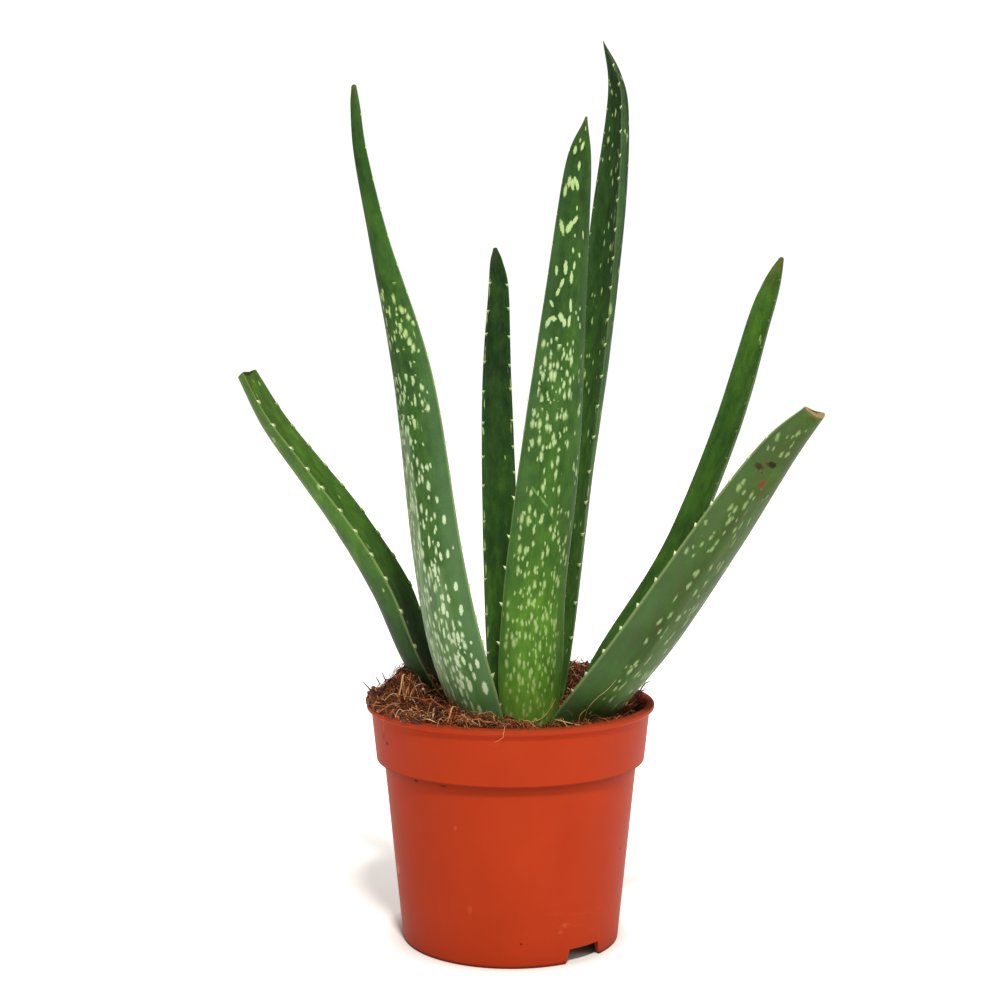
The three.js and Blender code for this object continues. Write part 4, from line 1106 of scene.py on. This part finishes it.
def strand_tree(coir_fibre):
    """Loose coir: thrown strands, each bent its own way and laid on what is under it, and the placed ones."""
    tree, node, given = new_tree(
        "coir_strands",
        {
            "Strands per square metre": 310000.0,
            "Shortest": 0.002,
            "Longest": 0.018,
            "Curl": 0.0013,
            "Lift": 0.0018,
            "Raised end": 0.007,
            "Girth": 0.00019,
            "Reach": 0.0598,
        },
    )
    parts = node("SeparateGeometry", given["Seed"], node("InputNamedAttribute", "placed"))
    ground = parts.outputs["Inverted"]
    loose = node("InputNamedAttribute", "loose")
    density = node("Math MULTIPLY", loose, given["Strands per square metre"])
    thrown = node("DistributePointsOnFaces", ground, {"Density": density, "Seed": 7})
    # Most strands are thin; a few are thick, dark and straight, and a few have one end in the air
    drawn = {seed: node("RandomValue", {"Seed": seed}).outputs[1] for seed in (1, 2, 3, 6)}
    bulk = node("Math POWER", drawn[2], 4)
    slimness = node("Math MULTIPLY_ADD", bulk, 1.7, 0.46)
    darker = node("Math MULTIPLY_ADD", bulk, -0.1, 1)
    tone = node("Math MULTIPLY", node("Math POWER", drawn[1], 1.62), darker)
    bend = node("Math MULTIPLY", drawn[3], 400)
    stand = node("Math POWER", drawn[6], 6)
    points = thrown
    kept = {"tone": tone, "slimness": slimness, "bulk": bulk, "bend": bend, "stand": stand}
    for label, value in kept.items():
        points = node("StoreNamedAttribute", points, {"Name": label, "Value": value})
    line = node("CurvePrimitiveLine", (-0.5, 0, 0), (0.5, 0, 0))
    line = node("ResampleCurve", line, {"Count": 9})
    factor = node("SplineParameter")
    line = node("StoreNamedAttribute", line, {"Name": "run", "Value": factor})
    length = node("RandomValue", given["Shortest"], given["Longest"], {"Seed": 4})
    heading = node("RandomValue", (0, 0, 0), (0, 0, 6.2832), {"Seed": 5}, data_type="FLOAT_VECTOR")
    strands = node(
        "InstanceOnPoints",
        points,
        {"Instance": line, "Rotation": heading.outputs[0], "Scale": length.outputs[1]},
    )
    strands = node("RealizeInstances", strands)
    run, bend, bulk, stand, slim = (
        node("InputNamedAttribute", label) for label in ("run", "bend", "bulk", "stand", "slimness")
    )
    # Sideways curl, different for each strand because its bend number is the fourth coordinate
    position = node("InputPosition")
    curl = node("TexNoise", position, bend, 75, 2, noise_dimensions="4D")
    curl = node("VectorMath SUBTRACT", curl.outputs["Color"], (0.5, 0.5, 0.5))
    curl = node("VectorMath MULTIPLY", curl, (4, 4, 0))
    swing = node("Math MULTIPLY", node("Math SUBTRACT", 1, bulk), given["Curl"])
    curl = node("VectorMath SCALE", curl, swing)
    strands = node("SetPosition", strands, {"Offset": curl})
    # Kept within the rim, then laid on the ground, with its middle lifted and its ends in it
    flat = node("VectorMath MULTIPLY", position, (1, 1, 0))
    pull = node("Math DIVIDE", given["Reach"], node("VectorMath LENGTH", flat).outputs["Value"])
    pull = node("Math MINIMUM", pull, 1)
    strands = node("SetPosition", strands, {"Position": node("VectorMath SCALE", flat, pull)})
    above = node("VectorMath ADD", position, (0, 0, 0.2))
    ray = {"Source Position": above, "Ray Direction": (0, 0, -1), "Ray Length": 0.3}
    below = node("Raycast", ground, ray)
    arch = node("Math SINE", node("Math MULTIPLY", run, math.pi))
    stray = node("Math POWER", node("TexNoise", position, bend, 60, 1, noise_dimensions="4D"), 2.2)
    lift = node("Math MULTIPLY", node("Math MULTIPLY", stray, 4), arch)
    lift = node("Math MULTIPLY_ADD", lift, given["Lift"], -0.0003)
    lift = node("Math MULTIPLY_ADD", node("Math MULTIPLY", run, stand), given["Raised end"], lift)
    lift = node("CombineXYZ", {"Z": lift})
    laid = node("VectorMath ADD", below.outputs["Hit Position"], lift)
    strands = node("SetPosition", strands, below.outputs["Is Hit"], laid)
    # The placed strands run smoothly through their rows of points
    paths = node("MeshToCurve", parts.outputs["Selection"])
    paths = node("CurveSplineType", paths, spline_type="CATMULL_ROM")
    paths = node("ResampleCurve", paths, {"Count": 22})
    paths = node("StoreNamedAttribute", paths, {"Name": "run", "Value": factor})
    strands = node("JoinGeometry", [strands, paths])
    # Each strand tapers to its ends
    taper = node("Math MULTIPLY_ADD", node("Math POWER", arch, 0.5), 0.75, 0.25)
    girth = node("Math MULTIPLY", node("Math MULTIPLY", taper, slim), given["Girth"])
    body = node("CurveToMesh", strands, node("CurvePrimitiveCircle", 3, 1), girth, True)
    body = node("RealizeInstances", node("SetShadeSmooth", body))
    body = node("SetMaterial", body, {"Material": coir_fibre})
    node("GroupOutput", body)
    return tree


def crumb_tree(coir_fibre, perlite):
    """Crumbs of pith and bark over the soil and the spilled rim, and a few white grains."""
    tree, node, given = new_tree(
        "coir_crumbs",
        {"Crumbs per square metre": 190000.0, "Smallest": 0.0004, "Largest": 0.0024, "Grain size": 0.0007},
    )
    parts = node("SeparateGeometry", given["Seed"], node("InputNamedAttribute", "placed"))
    loose = node("InputNamedAttribute", "loose")
    density = node("Math MULTIPLY", loose, given["Crumbs per square metre"])
    points = node("DistributePointsOnFaces", parts.outputs["Inverted"], {"Density": density, "Seed": 21})
    tone = node("RandomValue", {"Max": 0.45, "Seed": 11}).outputs[1]
    points = node("StoreNamedAttribute", points, {"Name": "tone", "Value": tone})
    ball = node("MeshIcoSphere", 1, 1).outputs["Mesh"]
    turn = node("RandomValue", {"Max": (6.28, 6.28, 6.28), "Seed": 12}, data_type="FLOAT_VECTOR").outputs[0]
    # Many are small and a few large; each is longer one way
    size = node("Math POWER", node("RandomValue", {"Seed": 13}).outputs[1], 3)
    size = node("MapRange", size, {"To Min": given["Smallest"], "To Max": given["Largest"]})
    shape = node("RandomValue", (0.7, 0.35, 0.3), (1.6, 0.9, 0.7), {"Seed": 14}, data_type="FLOAT_VECTOR")
    scale = node("VectorMath SCALE", shape.outputs[0], size)
    crumbs = node("InstanceOnPoints", points, {"Instance": ball, "Rotation": turn, "Scale": scale})
    crumbs = node("SetMaterial", node("RealizeInstances", crumbs), {"Material": coir_fibre})
    grains = node(
        "InstanceOnPoints",
        parts.outputs["Selection"],
        {"Instance": ball, "Rotation": turn, "Scale": given["Grain size"]},
    )
    grains = node("RealizeInstances", grains)
    both = node("RealizeInstances", node("JoinGeometry", [crumbs, grains]))
    both = node("SetMaterial", both, node("InputNamedAttribute", "placed"), perlite)
    node("GroupOutput", both)
    return tree


def perlite_grain():
    """Perlite: white, chalky and matt."""
    made, node = new_material("white_perlite_grain")
    chalk = node("TexNoise", node("TexCoord").outputs["Object"], 1500, 2)
    tone = node("Mix", chalk, "#a39c90", "#dcd6cb", data_type="RGBA")
    shader = node("BsdfPrincipled", tone, {"Roughness": 0.9, "Specular IOR Level": 0.2})
    node("OutputMaterial", shader)
    return made


def coir_soil():
    """Damp coir pith: dark brown with painted shade in the hollows, rust brown on the crumbs, matt."""
    made, node = new_material("damp_coir_pith")
    place = node("TexCoord").outputs["Object"]
    # Raised crumbs are lighter and the hollows darker: painted shade
    rise = node("Attribute", attribute_name="soil_rise").outputs["Fac"]
    tall = node("MapRange", rise, -0.0006, 0.0006)
    # Crumbs about 2 mm across, each with its own brown
    drawn = node("SeparateColor", node("TexVoronoi", place, 420).outputs["Color"])
    threads = node("TexNoise", place, 1300, 4, 0.7)
    tone = node("Math MULTIPLY_ADD", drawn.outputs[0], 0.35, threads)
    tone = node("MapRange", node("Math MULTIPLY_ADD", tall, 0.45, tone), 0.45, 1.25)
    tone = fill_ramp(node("ValToRGB", tone), (0, "#120905"), (0.5, "#3a1c0d"), (1, "#7d431f"))
    bump = node("Bump", 0.8, 0.0006, {"Height": threads})
    shader = node("BsdfPrincipled", tone, {"Roughness": 0.92, "Normal": bump, "Specular IOR Level": 0.25})
    node("OutputMaterial", shader)
    return made


def coir_fibre():
    """Coir fibre: dark brown to rust and straw, a colour to each strand, with a dry dull gloss."""
    made, node = new_material("coir_fibre_strand")
    tone = node("Attribute", attribute_name="tone").outputs["Fac"]
    place = node("TexCoord").outputs["Object"]
    shifted = node("Math MULTIPLY_ADD", node("TexNoise", place, 400, 2), 0.3, tone)
    shifted = node("Math SUBTRACT", shifted, 0.13, use_clamp=True)
    tone = fill_ramp(
        node("ValToRGB", shifted),
        (0, "#27130a"),
        (0.25, "#57280f"),
        (0.5, "#8b431b"),
        (0.7, "#b36a33"),
        (0.88, "#d09c64"),
        (1, "#ead0a0"),
    )
    bump = node("Bump", 0.4, 0.0001, {"Height": node("TexNoise", place, 3000, 2)})
    shader = node("BsdfPrincipled", tone, {"Roughness": 0.6, "Normal": bump, "Specular IOR Level": 0.35})
    node("OutputMaterial", shader)
    return made


def stem_flesh():
    """The hidden stem: pale, fibrous and matt."""
    made, node = new_material("pale_stem_flesh")
    stretched = node("VectorMath MULTIPLY", node("TexCoord").outputs["Object"], (600, 600, 90))
    fibres = node("TexNoise", stretched, 1, 3)
    tone = node("Mix", fibres, "#8d8450", "#cfc795", data_type="RGBA")
    bump = node("Bump", 0.4, 0.0004, {"Height": fibres})
    node("OutputMaterial", node("BsdfPrincipled", tone, {"Roughness": 0.75, "Normal": bump}))
    return made


def pale_floor():
    """White acrylic sweep under the pot, lit a little from below so that shadows on it stay faint."""
    made, node = new_material("lit_white_acrylic")
    place = node("TexCoord").outputs["Object"]
    bump = node("Bump", 0.05, 0.0002, {"Height": node("TexNoise", place, 900, 2)})
    # No light comes from below under the pot, some around it, and more to the right, where no shadow shows
    away = node("VectorMath LENGTH", place).outputs["Value"]
    from_left = node("VectorMath DISTANCE", place, (-0.06, 0, 0)).outputs["Value"]
    near = node("MapRange", away, 0.0455, 0.056, {"To Max": 0.42})
    glow = node("Math ADD", near, node("MapRange", from_left, 0.1, 0.22, {"To Max": 0.5}))
    shader = node(
        "BsdfPrincipled",
        "#efefef",
        {
            "Roughness": 0.9,
            "Normal": bump,
            "Specular IOR Level": 0.1,
            "Emission Color": "#ffffff",
            "Emission Strength": glow,
        },
    )
    node("OutputMaterial", shader)
    return made


def white_room():
    """Soft even light from all round, dimmer and a little warmer than the white seen behind the plant."""
    room = bpy.data.worlds.new("white_room")
    room.use_nodes = True
    room.node_tree.nodes.clear()
    node = functools.partial(add, room.node_tree)
    seen = node("LightPath").outputs["Is Camera Ray"]
    strength = node("Mix", seen, 0.36, 1.05)
    tint = node("Mix", seen, "#fff3e2", "#ffffff", data_type="RGBA")
    node("OutputWorld", node("Background", tint, strength))
    return room


def light(name, place, size, watts, tint):
    """A square soft light that faces the middle of the plant."""
    lamp = bpy.data.lights.new(name, "AREA")
    lamp.size = size
    lamp.energy = watts
    lamp.color = colour(tint)[:3]
    holder = bpy.data.objects.new(name, lamp)
    holder.location = place
    holder.rotation_euler = (Vector((0, 0, 0.15)) - Vector(place)).to_track_quat("-Z", "Y").to_euler()
    bpy.context.scene.collection.objects.link(holder)


camera_data = bpy.data.cameras.new("photo_camera")
camera_data.lens = CAMERA_LENS
camera_data.sensor_width = 36
camera_data.clip_end = 50
camera = bpy.data.objects.new("photo_camera", camera_data)
camera.location = [c * MM for c in CAMERA_PLACE]
camera.rotation_euler = (math.radians(90 - CAMERA_PITCH), 0, 0)
bpy.context.scene.collection.objects.link(camera)
bpy.context.scene.camera = camera

skin = leaf_skin()
leaf_nodes = leaf_tree(skin, thorn_flesh())
for order, (leaf_name, facts) in enumerate(LEAVES.items()):
    dress_leaf(leaf_name, facts, order, leaf_nodes)

dress_pot(pot_plastic())

soil = grow("coir_soil", soil_seed(), soil_tree(coir_soil()))
fibre = coir_fibre()
strands = grow("coir_strands", spill_seed(soil, PLACED_STRANDS), strand_tree(fibre))
grains = [(0, 0, [grain]) for grain in GRAINS]
crumbs = grow("coir_crumbs", spill_seed(soil, grains), crumb_tree(fibre, perlite_grain()))
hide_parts("soil")
for piece in (soil, strands, crumbs):
    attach(piece, "root")

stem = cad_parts["stem"]
stem.data.materials.clear()
stem.data.materials.append(stem_flesh())

sweep = bpy.data.meshes.new("white_sweep")
sweep.from_pydata([(-4, -4, 0), (4, -4, 0), (4, 4, 0), (-4, 4, 0)], (), [(0, 1, 2, 3)])
floor = shown("white_sweep", sweep)
sweep.materials.append(pale_floor())

light("key_front_right", (0.12, -1.15, 1.5), 0.22, 31.5, "#fffaf4")
light("fill_right", (1.5, -0.5, 0.7), 1.0, 5.3, "#fffaf2")
bpy.context.scene.world = white_room()
bpy.context.scene.view_settings.view_transform = "Standard"
